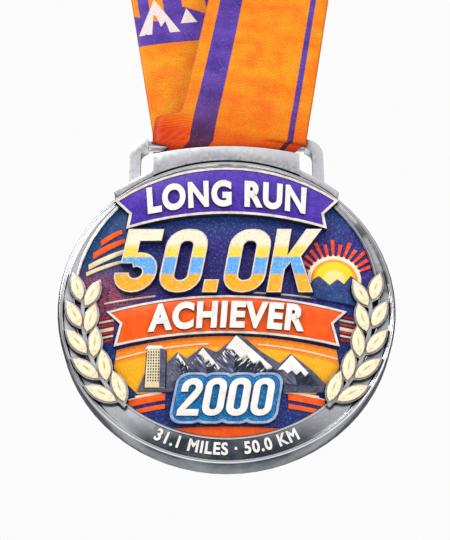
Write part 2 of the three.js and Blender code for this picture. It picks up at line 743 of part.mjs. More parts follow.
function collarStations() {
  const right = COLLAR.map(({ move: [x, y, z], face }) => {
    return { place: vector(tailEnd.x + x, y, tailEnd.z + z), face: vector(...face) };
  });
  const lean = degrees(CHEST_LEAN);
  const nape = {
    place: vector(0, NAPE.back, tailEnd.z + NAPE.rise),
    face: vector(0, Math.cos(lean), Math.sin(lean)), // level once the ribbon leans back
  };
  const left = right.toReversed().map(({ place: p, face: f }) => {
    return { place: vector(-p.x, p.y, p.z), face: vector(-f.x, f.y, f.z) };
  });
  const all = [...right, nape, ...left];
  const line = new THREE.CatmullRomCurve3(all.map((s) => s.place), false, "centripetal");
  const faces = new THREE.CatmullRomCurve3(all.map((s) => s.face), false, "centripetal");
  const made = [];
  const steps = 36;
  for (let i = 0; i <= steps; i++) {
    const t = i / steps;
    made.push({ place: line.getPoint(t), along: line.getTangent(t), face: faces.getPoint(t) });
  }
  made[0].along.copy(tailWay);
  made.at(-1).along.copy(tailWay).multiply(vector(1, -1, -1));
  return { stations: made, nape };
}

const collar = collarStations();
// The collar starts and ends a small gap away from the tails.
for (const [station, way] of [[collar.stations[0], 1], [collar.stations.at(-1), -1]])
  station.place.addScaledVector(station.along, way * RIBBON_JOIN);

strap("ribbon_bar_wrap", wrapStations());
strap("ribbon_right_tail", tailStations(1, RIBBON_JOIN, TAIL_LENGTH, 16));
strap("ribbon_left_tail", tailStations(-1, RIBBON_JOIN, TAIL_LENGTH, 16));
strap("ribbon_neck_band", collar.stations);

// The sewn lap on the back of the left tail, which closes the strap.
const lapStations = tailStations(-1, LAP_START, LAP_START + LAP_LENGTH, 3);
for (const { place } of lapStations) place.y += RIBBON_THICKNESS + GLUE_GAP;
strap("ribbon_lap_joint", lapStations);

// ---- Whole object -------------------------------------------------------------------------------
medal.rotation.x = Math.PI / 2; // face frame to row frame
medal.position.z = -BAR_HEIGHT;
ribbon.rotation.x = -degrees(CHEST_LEAN);

// The ribbon rests on the nape by its inner face, at its middle.
const nape = collar.nape.place
  .clone()
  .addScaledVector(collar.nape.face.clone().normalize(), -RIBBON_THICKNESS / 2)
  .applyEuler(ribbon.rotation);
const hung = new THREE.Group();
hung.position.copy(nape).negate();
hung.add(medal, ribbon);

const whole = new THREE.Group();
whole.add(hung);

export default whole;
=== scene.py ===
import json
import math

import bmesh
import bpy
from mathutils import Matrix, Vector, noise


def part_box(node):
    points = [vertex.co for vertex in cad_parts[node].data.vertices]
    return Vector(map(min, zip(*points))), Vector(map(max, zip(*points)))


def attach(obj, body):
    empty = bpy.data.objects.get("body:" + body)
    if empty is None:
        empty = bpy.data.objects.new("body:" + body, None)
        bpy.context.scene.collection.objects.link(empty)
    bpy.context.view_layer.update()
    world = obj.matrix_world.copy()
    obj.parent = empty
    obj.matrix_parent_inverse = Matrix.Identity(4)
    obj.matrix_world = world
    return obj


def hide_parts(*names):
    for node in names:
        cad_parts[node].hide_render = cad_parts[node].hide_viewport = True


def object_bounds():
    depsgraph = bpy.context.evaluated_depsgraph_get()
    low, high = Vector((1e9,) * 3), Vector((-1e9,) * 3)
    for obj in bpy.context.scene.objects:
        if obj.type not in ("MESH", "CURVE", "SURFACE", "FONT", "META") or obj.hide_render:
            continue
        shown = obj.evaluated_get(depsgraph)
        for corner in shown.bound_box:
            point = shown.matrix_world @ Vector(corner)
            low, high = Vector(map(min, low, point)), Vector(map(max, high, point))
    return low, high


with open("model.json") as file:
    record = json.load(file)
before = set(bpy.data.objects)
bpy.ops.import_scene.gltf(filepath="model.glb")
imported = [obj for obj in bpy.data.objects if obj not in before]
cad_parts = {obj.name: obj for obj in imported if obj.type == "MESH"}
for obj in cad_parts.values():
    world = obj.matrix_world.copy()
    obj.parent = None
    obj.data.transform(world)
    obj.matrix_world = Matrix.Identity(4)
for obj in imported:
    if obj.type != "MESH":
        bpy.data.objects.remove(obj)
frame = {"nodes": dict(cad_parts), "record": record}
cadLow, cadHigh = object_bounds()
cadNodes = frame["nodes"]
mm = 0.001


def boxOf(node):
    low, high = (Vector(corner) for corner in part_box(node))
    return low, high


discLow, discHigh = boxOf("medal_disc")
discCentre = (discLow + discHigh) / 2
discRadius = (discHigh.x - discLow.x) / 2 / mm
artScale = discRadius / 41.25  # the artwork's sizes below are for a disc of 41.25 mm radius
barPlace = Vector(frame["record"]["behaviour"]["joints"][0]["pos_m"])
lipTop = (discHigh.y - discLow.y) / 2 / mm


def onFace(x, y, z):
    # x right and y up from the disc's centre, z out of its front, all in mm
    return discCentre + Vector((x, -z, y)) * mm


artDrop = discRadius * 0.033  # the artwork's middle is a little below the disc's


def onArt(x, y, z):
    # the same for a place in the artwork's own sizes
    return onFace(x * artScale, y * artScale - artDrop, z)


def frontOf(node):
    return (discCentre.y - boxOf(node)[0].y) / mm


# node helpers
def add(tree, kind, sockets=None, **settings):
    made = tree.nodes.new(kind)
    for key, value in settings.items():
        setattr(made, key, value)
    for key, value in (sockets or {}).items():
        if isinstance(value, bpy.types.NodeSocket):
            tree.links.new(value, made.inputs[key])
        else:
            made.inputs[key].default_value = value
    return made


def calc(tree, operation, a, b=0.0, clamp=False):
    made = add(tree, "ShaderNodeMath", {0: a, 1: b}, operation=operation, use_clamp=clamp)
    return made.outputs[0]


def blendColours(tree, factor, a, b, how="MIX"):
    full = [v if isinstance(v, bpy.types.NodeSocket) else (*v, 1) for v in (a, b)]
    made = add(tree, "ShaderNodeMix", data_type="RGBA", blend_type=how)
    for socket, value in zip((made.inputs[0], made.inputs[6], made.inputs[7]), (factor, *full)):
        if isinstance(value, bpy.types.NodeSocket):
            tree.links.new(value, socket)
        else:
            socket.default_value = value
    return made.outputs[2]


def spread(tree, value, low, high, toLow=0.0, toHigh=1.0):
    made = add(tree, "ShaderNodeMapRange", {0: value, 1: low, 2: high, 3: toLow, 4: toHigh})
    return made.outputs[0]


def band(tree, value, low, high, soft):
    rise = spread(tree, value, low - soft, low + soft)
    fall = spread(tree, value, high - soft, high + soft, 1.0, 0.0)
    return calc(tree, "MULTIPLY", rise, fall)


def noiseOf(tree, where, scale, detail=2.0, rough=0.5):
    sockets = {"Vector": where, "Scale": scale, "Detail": detail, "Roughness": rough}
    return add(tree, "ShaderNodeTexNoise", sockets).outputs["Fac"]


def cellsOf(tree, where, scale):
    return add(tree, "ShaderNodeTexVoronoi", {"Vector": where, "Scale": scale})


def bumpOf(tree, height, strength, distance):
    sockets = {"Height": height, "Strength": strength, "Distance": distance}
    return add(tree, "ShaderNodeBump", sockets).outputs["Normal"]


def startMaterial(name, colour, rough, metal=0.0, coat=0.0, sheen=0.0):
    made = bpy.data.materials.new(name)
    made.use_nodes = True
    tree = made.node_tree
    shader = tree.nodes["Principled BSDF"]
    shader.inputs["Base Color"].default_value = (*colour, 1)
    shader.inputs["Roughness"].default_value = rough
    shader.inputs["Metallic"].default_value = metal
    shader.inputs["Specular IOR Level"].default_value = 0.5 if metal else 0.3
    shader.inputs["Coat Weight"].default_value = coat
    shader.inputs["Coat Roughness"].default_value = 0.12
    shader.inputs["Sheen Weight"].default_value = sheen
    return made, tree, shader


def objectPlace(tree):
    where = add(tree, "ShaderNodeTexCoord").outputs["Object"]
    parts = add(tree, "ShaderNodeSeparateXYZ", {0: where})
    return where, parts.outputs[0], parts.outputs[2]


def faceRadius(tree, x, z, centre=(0.0, 0.0)):
    dx = calc(tree, "SUBTRACT", x, centre[0] * mm)
    dz = calc(tree, "SUBTRACT", z, discCentre.z + centre[1] * mm)
    squares = calc(tree, "ADD", calc(tree, "MULTIPLY", dx, dx), calc(tree, "MULTIPLY", dz, dz))
    return calc(tree, "SQRT", squares)


# finishes
silverPlan = {
    "bright": (0.68, 0.68, 0.69),
    "patinaAndShade": (0.028, 0.045, 0.065),
    "blotchScale": 130,
    "scratchScale": 900,
    "creviceDepth": 0.0011,
    "bandScale": 3.4,
    "bandDark": 0.7,
}


def silverFinish(name, patinaLow, footDark, rough, bright=silverPlan["bright"]):
    # plated metal, blotched, with patina and painted shade in its crevices; the disc's is also dark at its
    # foot, with painted shade on its side wall
    made, tree, shader = startMaterial(name, bright, rough, metal=1.0)
    where, x, z = objectPlace(tree)
    blotch = noiseOf(tree, where, silverPlan["blotchScale"], 5, 0.62)
    # patina and painted shade: darker where ambient occlusion finds hollows and the feet of the reliefs
    crevice = add(tree, "ShaderNodeAmbientOcclusion", {"Distance": silverPlan["creviceDepth"]}, samples=8)
    shaded = spread(tree, crevice.outputs["AO"], 0.35, 0.92, 1.0, 0.0)
    spots = spread(tree, blotch, 0.58, 0.72, 0.0, 0.45)
    foot = spread(tree, z, discCentre.z - 27 * mm, discCentre.z - 36 * mm, 0.0, footDark)
    aside = spread(tree, calc(tree, "ABSOLUTE", x), 19 * mm, 30 * mm, 1.0, 0.1)
    foot = calc(tree, "MULTIPLY", foot, aside)
    radius = faceRadius(tree, x, z)
    # painted shade: the disc's side wall is darkened all round
    wall = spread(tree, radius, (discRadius - 0.45) * mm, (discRadius - 0.15) * mm, 0.0, footDark * 0.7)
    dark = calc(tree, "ADD", calc(tree, "MULTIPLY", spots, patinaLow), shaded, clamp=True)
    dark = calc(tree, "MAXIMUM", dark, calc(tree, "MULTIPLY", foot, spread(tree, blotch, 0.3, 0.6, 0.8, 1.0)))
    dark = calc(tree, "MAXIMUM", dark, wall)
    if footDark:
        # tarnish and painted dark reflections in soft bands that run outwards from the disc's middle
        up = calc(tree, "SUBTRACT", z, discCentre.z)
        flat = add(tree, "ShaderNodeCombineXYZ", {0: x, 2: up}).outputs[0]
        outward = add(tree, "ShaderNodeVectorMath", {0: flat}, operation="NORMALIZE").outputs[0]
        bands = noiseOf(tree, outward, silverPlan["bandScale"], 3, 0.6)
        dark = calc(tree, "MAXIMUM", dark, spread(tree, bands, 0.5, 0.6, 0.0, silverPlan["bandDark"]))
    colour = blendColours(tree, dark, bright, silverPlan["patinaAndShade"])
    tree.links.new(colour, shader.inputs["Base Color"])
    wearAndShade = noiseOf(tree, where, silverPlan["scratchScale"], 4, 0.7)
    tree.links.new(spread(tree, wearAndShade, 0.3, 0.7, rough * 0.7, rough * 1.5), shader.inputs["Roughness"])
    ripple = calc(tree, "ADD", calc(tree, "MULTIPLY", wearAndShade, 0.5), noiseOf(tree, where, 260, 2))
    tree.links.new(bumpOf(tree, ripple, 0.35, 0.00012), shader.inputs["Normal"])
    return made


def enamelFinish(name, colour, deep, glitter=0.25, rough=0.36):
    # fired colour, slightly mottled, with fine flakes that catch the light
    made, tree, shader = startMaterial(name, colour, rough, coat=0.12)
    where = objectPlace(tree)[0]
    mottle = noiseOf(tree, where, 420, 5, 0.65)
    shade = blendColours(tree, spread(tree, mottle, 0.36, 0.66), deep, colour)
    flakes = cellsOf(tree, where, 3800)
    lit = add(tree, "ShaderNodeSeparateColor", {0: flakes.outputs["Color"]}).outputs[0]
    spark = calc(tree, "MULTIPLY", spread(tree, lit, 0.78, 0.97), glitter)
    bright = [min(1, c * 1.5 + 0.28) for c in colour]
    shade = blendColours(tree, spark, shade, bright)
    tree.links.new(shade, shader.inputs["Base Color"])
    tree.links.new(bumpOf(tree, mottle, 0.3, 0.00009), shader.inputs["Normal"])
    return made


def srgb(r, g, b):
    return tuple(((v / 255 + 0.055) / 1.055) ** 2.4 if v > 10 else v / 3294 for v in (r, g, b))


def fieldFinish():
    # the field's enamel goes from teal at the upper left to violet and navy, with a warm glow at the left
    made, tree, shader = startMaterial("fieldEnamel", srgb(35, 45, 130), 0.34, coat=0.15)
    where, x, z = objectPlace(tree)
    drift = noiseOf(tree, where, 60, 3, 0.6)
    across = calc(tree, "ADD", x, calc(tree, "MULTIPLY", drift, 0.012))
    up = calc(tree, "SUBTRACT", z, discCentre.z)
    teal = spread(tree, across, -0.008, -0.026)
    shade = blendColours(tree, teal, srgb(42, 26, 118), srgb(8, 62, 108))
    high = calc(tree, "MULTIPLY", spread(tree, up, 0.018, 0.026), 0.75)
    shade = blendColours(tree, high, shade, srgb(20, 66, 118))
    navy = spread(tree, up, 0.002, -0.010)
    shade = blendColours(tree, navy, shade, srgb(22, 38, 108))
    flakes = cellsOf(tree, where, 3600)
    tone = add(tree, "ShaderNodeSeparateColor", {0: flakes.outputs["Color"]})
    glow = calc(tree, "MULTIPLY", spread(tree, x, -0.017, -0.030), band(tree, up, -0.004, 0.008, 0.004))
    warm = calc(tree, "MULTIPLY", glow, spread(tree, tone.outputs[1], 0.25, 0.6))
    shade = blendColours(tree, warm, shade, srgb(200, 70, 70))
    lit = calc(tree, "MULTIPLY", spread(tree, tone.outputs[0], 0.72, 0.96), 0.3)
    shade = blendColours(tree, lit, shade, srgb(110, 150, 230))
    tree.links.new(shade, shader.inputs["Base Color"])
    tree.links.new(bumpOf(tree, tone.outputs[2], 0.25, 0.00006), shader.inputs["Normal"])
    return made


def numeralFinish():
    # four stripes across the figures, cream, yellow, blue and amber, from the top down
    made, tree, shader = startMaterial("numeralEnamel", srgb(240, 225, 190), 0.34, coat=0.12)
    where, x, z = objectPlace(tree)
    low, high = boxOf("numeral_five")
    tall = high.z - low.z
    wobble = calc(tree, "MULTIPLY", noiseOf(tree, where, 300, 3), 0.05)
    share = calc(tree, "ADD", spread(tree, z, low.z, low.z + tall), wobble)
    shade = blendColours(tree, band(tree, share, 0.31, 2.0, 0.012), srgb(244, 170, 8), srgb(88, 165, 236))
    shade = blendColours(tree, band(tree, share, 0.575, 2.0, 0.012), shade, srgb(255, 214, 72))
    shade = blendColours(tree, band(tree, share, 0.755, 2.0, 0.05), shade, srgb(244, 234, 206))
    flakes = cellsOf(tree, where, 3600)
    tone = add(tree, "ShaderNodeSeparateColor", {0: flakes.outputs["Color"]})
    lit = spread(tree, tone.outputs[0], 0.7, 0.98, 0.0, 0.28)
    shade = blendColours(tree, lit, shade, srgb(255, 246, 210))
    deep = blendColours(tree, spread(tree, tone.outputs[1], 0.75, 1.0, 0.0, 0.3), shade, srgb(120, 90, 60))
    tree.links.new(deep, shader.inputs["Base Color"])
    tree.links.new(bumpOf(tree, tone.outputs[2], 0.2, 0.00005), shader.inputs["Normal"])
    return made


def leafFinish():
    # cream enamel on the ridge that turns gold towards the leaf's edge
    made, tree, shader = startMaterial("leafEnamel", srgb(243, 226, 178), 0.38, coat=0.1)
    where = objectPlace(tree)[0]
    rise = add(tree, "ShaderNodeAttribute", attribute_name="rise").outputs["Fac"]
    grain = noiseOf(tree, where, 900, 4, 0.7)
    gold = spread(tree, rise, 0.0, 0.75, 0.75, 0.0)
    warm = calc(tree, "ADD", gold, spread(tree, grain, 0.45, 0.75, 0.0, 0.5))
    warm = calc(tree, "MULTIPLY", warm, 0.6, clamp=True)
    shade = blendColours(tree, warm, srgb(252, 238, 204), srgb(214, 168, 84))
    tree.links.new(shade, shader.inputs["Base Color"])
    tree.links.new(bumpOf(tree, grain, 0.4, 0.0001), shader.inputs["Normal"])
    return made


sunPlan = {
    "x": 26.6,
    "y": 8.3,
    "discRings": [(0, srgb(250, 228, 150)), (2.6, srgb(255, 214, 30)), (4.9, srgb(255, 150, 10))],
    "burstRings": [(0, srgb(250, 232, 196)), (6.9, srgb(238, 62, 16))],
}


def sunFinish(name, stops):
    # rings of colour round the sun's centre
    made, tree, shader = startMaterial(name, srgb(255, 200, 20), 0.34, coat=0.12)
    where, x, z = objectPlace(tree)
    centre = (sunPlan["x"] * artScale, sunPlan["y"] * artScale - artDrop)
    radius = faceRadius(tree, x, z, centre)
    shade = stops[0][1]
    for reach, colour in stops[1:]:
        edge = reach * artScale * mm
        shade = blendColours(tree, spread(tree, radius, edge - 0.0003, edge + 0.0003), shade, colour)
    grain = noiseOf(tree, where, 900, 4, 0.7)
    shade = blendColours(tree, spread(tree, grain, 0.5, 0.8, 0.0, 0.3), shade, srgb(255, 235, 170))
    tree.links.new(shade, shader.inputs["Base Color"])
    tree.links.new(bumpOf(tree, grain, 0.25, 0.00008), shader.inputs["Normal"])
    return made


def skyFinish():
    # orange above, amber below, with the seam between them on the sky's arch
    made, tree, shader = startMaterial("skyEnamel", srgb(255, 145, 0), 0.34, coat=0.12)
    where, x, z = objectPlace(tree)
    arch = calc(tree, "ADD", z, calc(tree, "MULTIPLY", calc(tree, "MULTIPLY", x, x), 6.2))
    up = calc(tree, "SUBTRACT", arch, discCentre.z - artDrop * mm)
    shade = blendColours(tree, spread(tree, up, -0.0104, -0.0099), srgb(250, 172, 6), srgb(255, 132, 0))
    grain = cellsOf(tree, where, 3000)
    tone = add(tree, "ShaderNodeSeparateColor", {0: grain.outputs["Color"]})
    shade = blendColours(tree, spread(tree, tone.outputs[0], 0.7, 1.0, 0.0, 0.3), shade, srgb(255, 222, 120))
    tree.links.new(shade, shader.inputs["Base Color"])
    return made


silver = silverFinish("polishedSilver", 0.35, 0.0, 0.2)
hangerSilver = silverFinish("hangerSilver", 0.25, 0.0, 0.34, (0.7, 0.7, 0.71))
discSilver = silverFinish("discSilver", 0.4, 0.97, 0.2, (0.86, 0.87, 0.89))
darkSilver = silverFinish("darkSilver", 1.0, 0.0, 0.32)
# painted shade: a dark finish for the side walls of raised pieces, in place of the shade on them
sideWallShade = enamelFinish("sideWallShade", srgb(44, 42, 48), srgb(22, 20, 26), 0.1, 0.42)
paleEdge = enamelFinish("paleEdge", srgb(240, 232, 222), srgb(205, 192, 176), 0.1, 0.32)
plaqueEdge = enamelFinish("plaqueEdge", srgb(168, 188, 222), srgb(120, 146, 190), 0.2, 0.32)
cream = enamelFinish("creamEnamel", srgb(240, 226, 190), srgb(222, 200, 150), 0.1)
white = enamelFinish("whiteEnamel", srgb(246, 243, 238), srgb(228, 222, 214), 0.05, 0.34)
orange = enamelFinish("orangeEnamel", srgb(255, 98, 0), srgb(240, 78, 0), 0.1)
violet = enamelFinish("violetEnamel", srgb(84, 48, 178), srgb(62, 34, 150), 0.16)
blue = enamelFinish("blueEnamel", srgb(0, 132, 194), srgb(0, 92, 158), 0.35)
navy = enamelFinish("navyEnamel", srgb(40, 72, 132), srgb(24, 46, 100), 0.2)
red = enamelFinish("redEnamel", srgb(196, 30, 40), srgb(150, 18, 30), 0.3)
slate = enamelFinish("slateEnamel", srgb(92, 92, 114), srgb(58, 60, 82), 0.2, 0.4)
nightSlate = enamelFinish("nightSlateEnamel", srgb(34, 44, 62), srgb(18, 26, 40), 0.15, 0.4)
field = fieldFinish()
numeralFace = numeralFinish()
leafFace = leafFinish()
sky = skyFinish()
sunFace = sunFinish("sunEnamel", sunPlan["discRings"])
burstFace = sunFinish("burstEnamel", sunPlan["burstRings"])
print("finishes made")


# mesh helpers
def objectFrom(name, form, finishes):
    mesh = bpy.data.meshes.new(name)
    form.to_mesh(mesh)
    form.free()
    made = bpy.data.objects.new(name, mesh)
    bpy.context.scene.collection.objects.link(made)
    for finish in finishes:
        mesh.materials.append(finish)
    mesh.shade_smooth()
    return made


def bevelled(piece, width, segments=2, limit=34):
    wearAndShade = piece.modifiers.new("wornEdges", "BEVEL")
    wearAndShade.width = width * mm
    wearAndShade.segments = segments
    wearAndShade.limit_method = "ANGLE"
    wearAndShade.angle_limit = math.radians(limit)
    wearAndShade.harden_normals = True
    return piece


def belongs(piece, body, slot, *nodes):
    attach(piece, body)
    if nodes:
        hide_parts(*nodes)
    return piece


def mergedCopy(node):
    form = bmesh.new()
    form.from_mesh(cadNodes[node].data)
    bmesh.ops.remove_doubles(form, verts=form.verts, dist=2e-6)
    bmesh.ops.dissolve_limit(
        form, angle_limit=math.radians(0.6), verts=form.verts, edges=form.edges, delimit=set()
    )
    return form


def finishedCopy(node, finish, slot, bevel, sideFinish=None):
    # the CAD piece with worn edges and a better finish, and a second one of painted shade on its sides where
    # it has one
    form = mergedCopy(node)
    for f in form.faces:
        f.material_index = 1 if sideFinish and abs(f.normal.y) < 0.9 else 0
    made = objectFrom(node + "Finished", form, [finish, sideFinish] if sideFinish else [finish])
    bevelled(made, bevel)
    return belongs(made, "medal", slot, node)


def prismOf(name, outline, low, high, finish, slot="polished_silver", bevel=0.1):
    # a plate over an outline in face millimetres, between two heights
    form = bmesh.new()
    lower = [form.verts.new(onArt(x, y, low)) for x, y in outline]
    base = form.faces.new(lower)
    grown = bmesh.ops.extrude_face_region(form, geom=[base])["geom"]
    lift = Vector((0, -(high - low) * mm, 0))
    bmesh.ops.translate(form, verts=[v for v in grown if isinstance(v, bmesh.types.BMVert)], vec=lift)
    bmesh.ops.recalc_face_normals(form, faces=form.faces)
    made = bevelled(objectFrom(name, form, [finish]), bevel)
    return belongs(made, "medal", slot)


# metal
# the second finish colours the plates' sides dark as painted shade
for nodeName, finish, sideFinish, slotName, bevel in (
    ("medal_disc", discSilver, None, "polished_silver", 0.22),
    ("hanger_frame", hangerSilver, None, "polished_silver", 0.28),
    ("upper_banner", paleEdge, sideWallShade, "polished_silver", 0.12),
    ("lower_banner", paleEdge, sideWallShade, "polished_silver", 0.12),
    ("year_plaque", plaqueEdge, sideWallShade, "polished_silver", 0.3),
    ("laurel_left", darkSilver, sideWallShade, "dark_silver", 0.1),
    ("laurel_right", darkSilver, sideWallShade, "dark_silver", 0.1),
):
    finishedCopy(nodeName, finish, slotName, bevel, sideFinish=sideFinish)

beadPlan = {
    "lip": {"radius": discRadius - 0.72, "rise": 0.0, "width": 0.42, "top": lipTop + 0.12, "side": 1},
    "field": {"radius": discRadius * 0.8945 + 0.35, "rise": discRadius * 0.0594, "width": 0.28,
              "top": lipTop - 0.18, "side": 1},
    "back": {"radius": discRadius - 3.6, "rise": 0.0, "width": 0.35, "top": lipTop + 0.1, "side": -1},
}


def roundBead(name, plan, sweep=192, section=10):
    # a half-round bead turned about the face's axis
    form = bmesh.new()
    rings = []
    for i in range(sweep):
        a = 2 * math.pi * i / sweep
        ring = []
        for j in range(section):
            b = 2 * math.pi * j / section
            r = plan["radius"] + plan["width"] * math.cos(b)
            z = plan["side"] * (plan["top"] - plan["width"] * 0.7 + plan["width"] * 0.7 * math.sin(b))
            ring.append(form.verts.new(onFace(r * math.sin(a), plan["rise"] + r * math.cos(a), z)))
        rings.append(ring)
    for i in range(sweep):
        here, following = rings[i], rings[(i + 1) % sweep]
        for j in range(section):
            k = (j + 1) % section
            form.faces.new((here[j], here[k], following[k], following[j]))
    bmesh.ops.recalc_face_normals(form, faces=form.faces)
    return belongs(objectFrom(name, form, [silver]), "medal", "polished_silver")


for part, plan in beadPlan.items():
    roundBead(part + "Bead", plan)
print("metal pieces made")

# enamel let into the plates
for nodeName, finish, slotName in (
    ("field_enamel", field, "navy_enamel"),
    ("upper_banner_enamel", violet, "violet_enamel"),
    ("lower_banner_enamel", orange, "orange_enamel"),
    ("year_plaque_enamel", blue, "blue_enamel"),
    ("sky_enamel", sky, "amber_enamel"),
    ("mountain_range", slate, "slate_enamel"),
    ("tower", cream, "cream_enamel"),
    ("sunrise_hills", navy, "navy_enamel"),
    ("sun_disc", sunFace, "amber_enamel"),
    ("sun_burst", burstFace, "orange_enamel"),
    ("sky_streak_1", orange, "orange_enamel"),
    ("sky_streak_2", orange, "orange_enamel"),
    ("sky_streak_3", cream, "cream_enamel"),
    ("sky_streak_4", cream, "cream_enamel"),
    *((f"lower_stripe_{side}_{level}", orange, "orange_enamel")
      for level in ("upper", "lower") for side in ("left", "right")),
    ("bottom_crescent", orange, "orange_enamel"),
):
    finishedCopy(nodeName, finish, slotName, 0.07)


def frontFaces(form):
    return [f for f in form.faces if f.normal.y < -0.9]


def borderedFigure(node, face, slot, border):
    # a raised figure with sides darkened as painted shade, a white edge and enamel inside the edge
    form = mergedCopy(node)
    for f in form.faces:
        f.material_index = 0 if abs(f.normal.y) < 0.9 else 1
    fronts = frontFaces(form)
    bmesh.ops.dissolve_faces(form, faces=fronts)
    fronts = frontFaces(form)
    ring = bmesh.ops.inset_region(form, faces=fronts, thickness=border * mm, depth=-0.07 * mm)["faces"]
    for f in ring:
        f.material_index = 1
    for f in frontFaces(form):
        if f not in ring:
            f.material_index = 2
    made = objectFrom(node + "Finished", form, [sideWallShade, paleEdge, face])
    bevelled(made, 0.06, 1, 50)
    return belongs(made, "medal", slot, node)


figureNodes = ["numeral_five", "numeral_zero_left", "numeral_point", "numeral_zero_right", "numeral_k"]
for nodeName in figureNodes:
    borderedFigure(nodeName, numeralFace, "amber_enamel", 0.4)
for digit in range(1, 5):
    # the digits' sides are darkened as painted shade
    finishedCopy(f"year_digit_{digit}", white, "white_enamel", 0.14, sideFinish=sideWallShade)


def ridgedLeaf(node):
    # the leaf rises in two steps from its edge and has a groove along its middle
    form = mergedCopy(node)
    rise = form.verts.layers.float.new("rise")
    steps = [(0.42, 0.2, 0.45), (0.5, 0.16, 0.85), (0.34, 0.05, 1.0), (0.22, -0.1, 0.5)]
    for thickness, depth, level in steps:
        fronts = frontFaces(form)
        flat = [f for f in fronts if f.normal.y < -0.999]
        if not flat:
            break
        before = set(form.verts)
        bmesh.ops.inset_region(form, faces=flat, thickness=thickness * mm, depth=depth * mm)
        for v in form.verts:
            if v not in before:
                v[rise] = level
    made = objectFrom(node + "Finished", form, [leafFace])
    return belongs(made, "medal", "cream_enamel", node)


for side in ("left", "right"):
    for number in range(1, 11):
        ridgedLeaf(f"leaf_enamel_{side}_{number:02d}")
print("figures and leaves made")


# raised lettering
letteringPlan = {
    "upperLettering": {
        "words": "LONG RUN", "width": 39.6, "tall": 7.9, "radius": 85, "base": 28.1, "turn": 0.35,
        "front": frontOf("upper_banner_enamel"), "deep": 0.85, "lean": 0.0, "bold": 0.048,
    },
    "lowerLettering": {
        "words": "ACHIEVER", "width": 37.6, "tall": 7.4, "radius": 150, "base": -5.5, "turn": 0.6,
        "front": frontOf("lower_banner_enamel"), "deep": 0.85, "lean": 0.07, "bold": 0.048,
    },
    "rimLettering": {
        "words": "31.1 MILES \u00b7 50.0 KM", "width": 35.4, "tall": 3.15, "radius": -38.9, "base": 0,
        "turn": 1, "front": lipTop - 0.45, "deep": 0.3, "lean": 0.0, "bold": 0.034,
    },
}


def embolden(form, reach):
    # grows flat letters by moving every outline vertex outwards, square to its two edges
    sharpest = 1.8
    shifts = {}
    for vertex in form.verts:
        outward = Vector((0, 0, 0))
        for edge in (e for e in vertex.link_edges if e.is_boundary):
            along = edge.verts[1].co - edge.verts[0].co
            square = Vector((along.y, -along.x, 0)).normalized()
            inside = edge.link_faces[0].calc_center_median() - edge.verts[0].co
            outward += -square if square.dot(inside) > 0 else square
        if outward.length > 0.1:
            half = outward.length / 2
            shifts[vertex] = outward.normalized() * reach * min(sharpest, 1 / half)
    for vertex, shift in shifts.items():
        vertex.co += shift


def letterOutlines(plan):
    # the words as flat outlines, filled and raised to a height of one
    curve = bpy.data.curves.new("words", "FONT")
    curve.body = plan["words"]
    curve.size = 1.0
    curve.fill_mode = "NONE"
    curve.space_character = 1.13
    curve.resolution_u = 5
    holder = bpy.data.objects.new("words", curve)
    bpy.context.scene.collection.objects.link(holder)
    bpy.context.view_layer.update()
    flat = bpy.data.meshes.new_from_object(holder.evaluated_get(bpy.context.evaluated_depsgraph_get()))
    bpy.data.objects.remove(holder)
    form = bmesh.new()
    form.from_mesh(flat)
    bmesh.ops.remove_doubles(form, verts=form.verts, dist=0.002)
    bmesh.ops.triangle_fill(form, use_beauty=True, use_dissolve=False, edges=form.edges, normal=(0, 0, 1))
    bmesh.ops.recalc_face_normals(form, faces=form.faces)
    embolden(form, plan["bold"])
    raised = bmesh.ops.extrude_face_region(form, geom=form.faces[:])["geom"]
    bmesh.ops.translate(form, verts=[v for v in raised if isinstance(v, bmesh.types.BMVert)], vec=(0, 0, 1))
    return form


def raisedLettering(name, plan):
    # block letters bent along an arc; a negative radius runs them along the foot of a circle
    form = letterOutlines(plan)
    lows = [min(v.co[i] for v in form.verts) for i in range(3)]
    highs = [max(v.co[i] for v in form.verts) for i in range(3)]
    radius = plan["radius"]
    for v in form.verts:
        x = ((v.co.x - lows[0]) / (highs[0] - lows[0]) - 0.5) * plan["width"]
        y = (v.co.y - lows[1]) / (highs[1] - lows[1]) * plan["tall"]
        z = plan["front"] - 0.1 + (v.co.z - lows[2]) / (highs[2] - lows[2]) * plan["deep"]
        x += plan["lean"] * (y - plan["tall"] / 2)
        angle = x / abs(radius)
        if radius > 0:
            px = x + y * angle * plan["turn"]
            py = plan["base"] + y - radius * (1 - math.cos(angle))
            v.co = onArt(px, py, z)
        else:
            reach = -radius - y
            v.co = onFace(reach * math.sin(angle) * artScale, -reach * math.cos(angle) * artScale, z)
    bmesh.ops.recalc_face_normals(form, faces=form.faces)
    # the letters' side faces are darkened as painted shade
    for f in form.faces:
        f.material_index = 1 if abs(f.normal.y) < 0.5 else 0
        f.smooth = False
    made = objectFrom(name, form, [white, sideWallShade])
    made.data.shade_flat()
    return belongs(made, "medal", "white_enamel")


for name, plan in letteringPlan.items():
    raisedLettering(name, plan)
print("lettering made")

# mountains, tower and lines
rangeFront = frontOf("mountain_range")
peakPlan = [  # top, left foot, right foot and foot of the ridge, then how far snow runs down each side
    {"top": (-11.6, -11.9), "left": (-14.4, -18.6), "right": (-6.6, -19.2), "ridge": (-10.4, -19.4),
     "snow": (0.16, 0.5)},
    {"top": (-5.7, -10.5), "left": (-11.4, -18.6), "right": (1.0, -19.0), "ridge": (-4.2, -19.2),
     "snow": (0.2, 0.62)},
    {"top": (15.5, -12.4), "left": (9.4, -19.4), "right": (22.0, -20.2), "ridge": (16.6, -20.0),
     "snow": (0.55, 0.6)},
    {"top": (2.3, -7.3), "left": (-5.0, -17.2), "right": (13.0, -17.6), "ridge": (1.6, -18.2),
     "snow": (0.34, 0.8)},
]


def between(a, b, share):
    return (a[0] + (b[0] - a[0]) * share, a[1] + (b[1] - a[1]) * share)


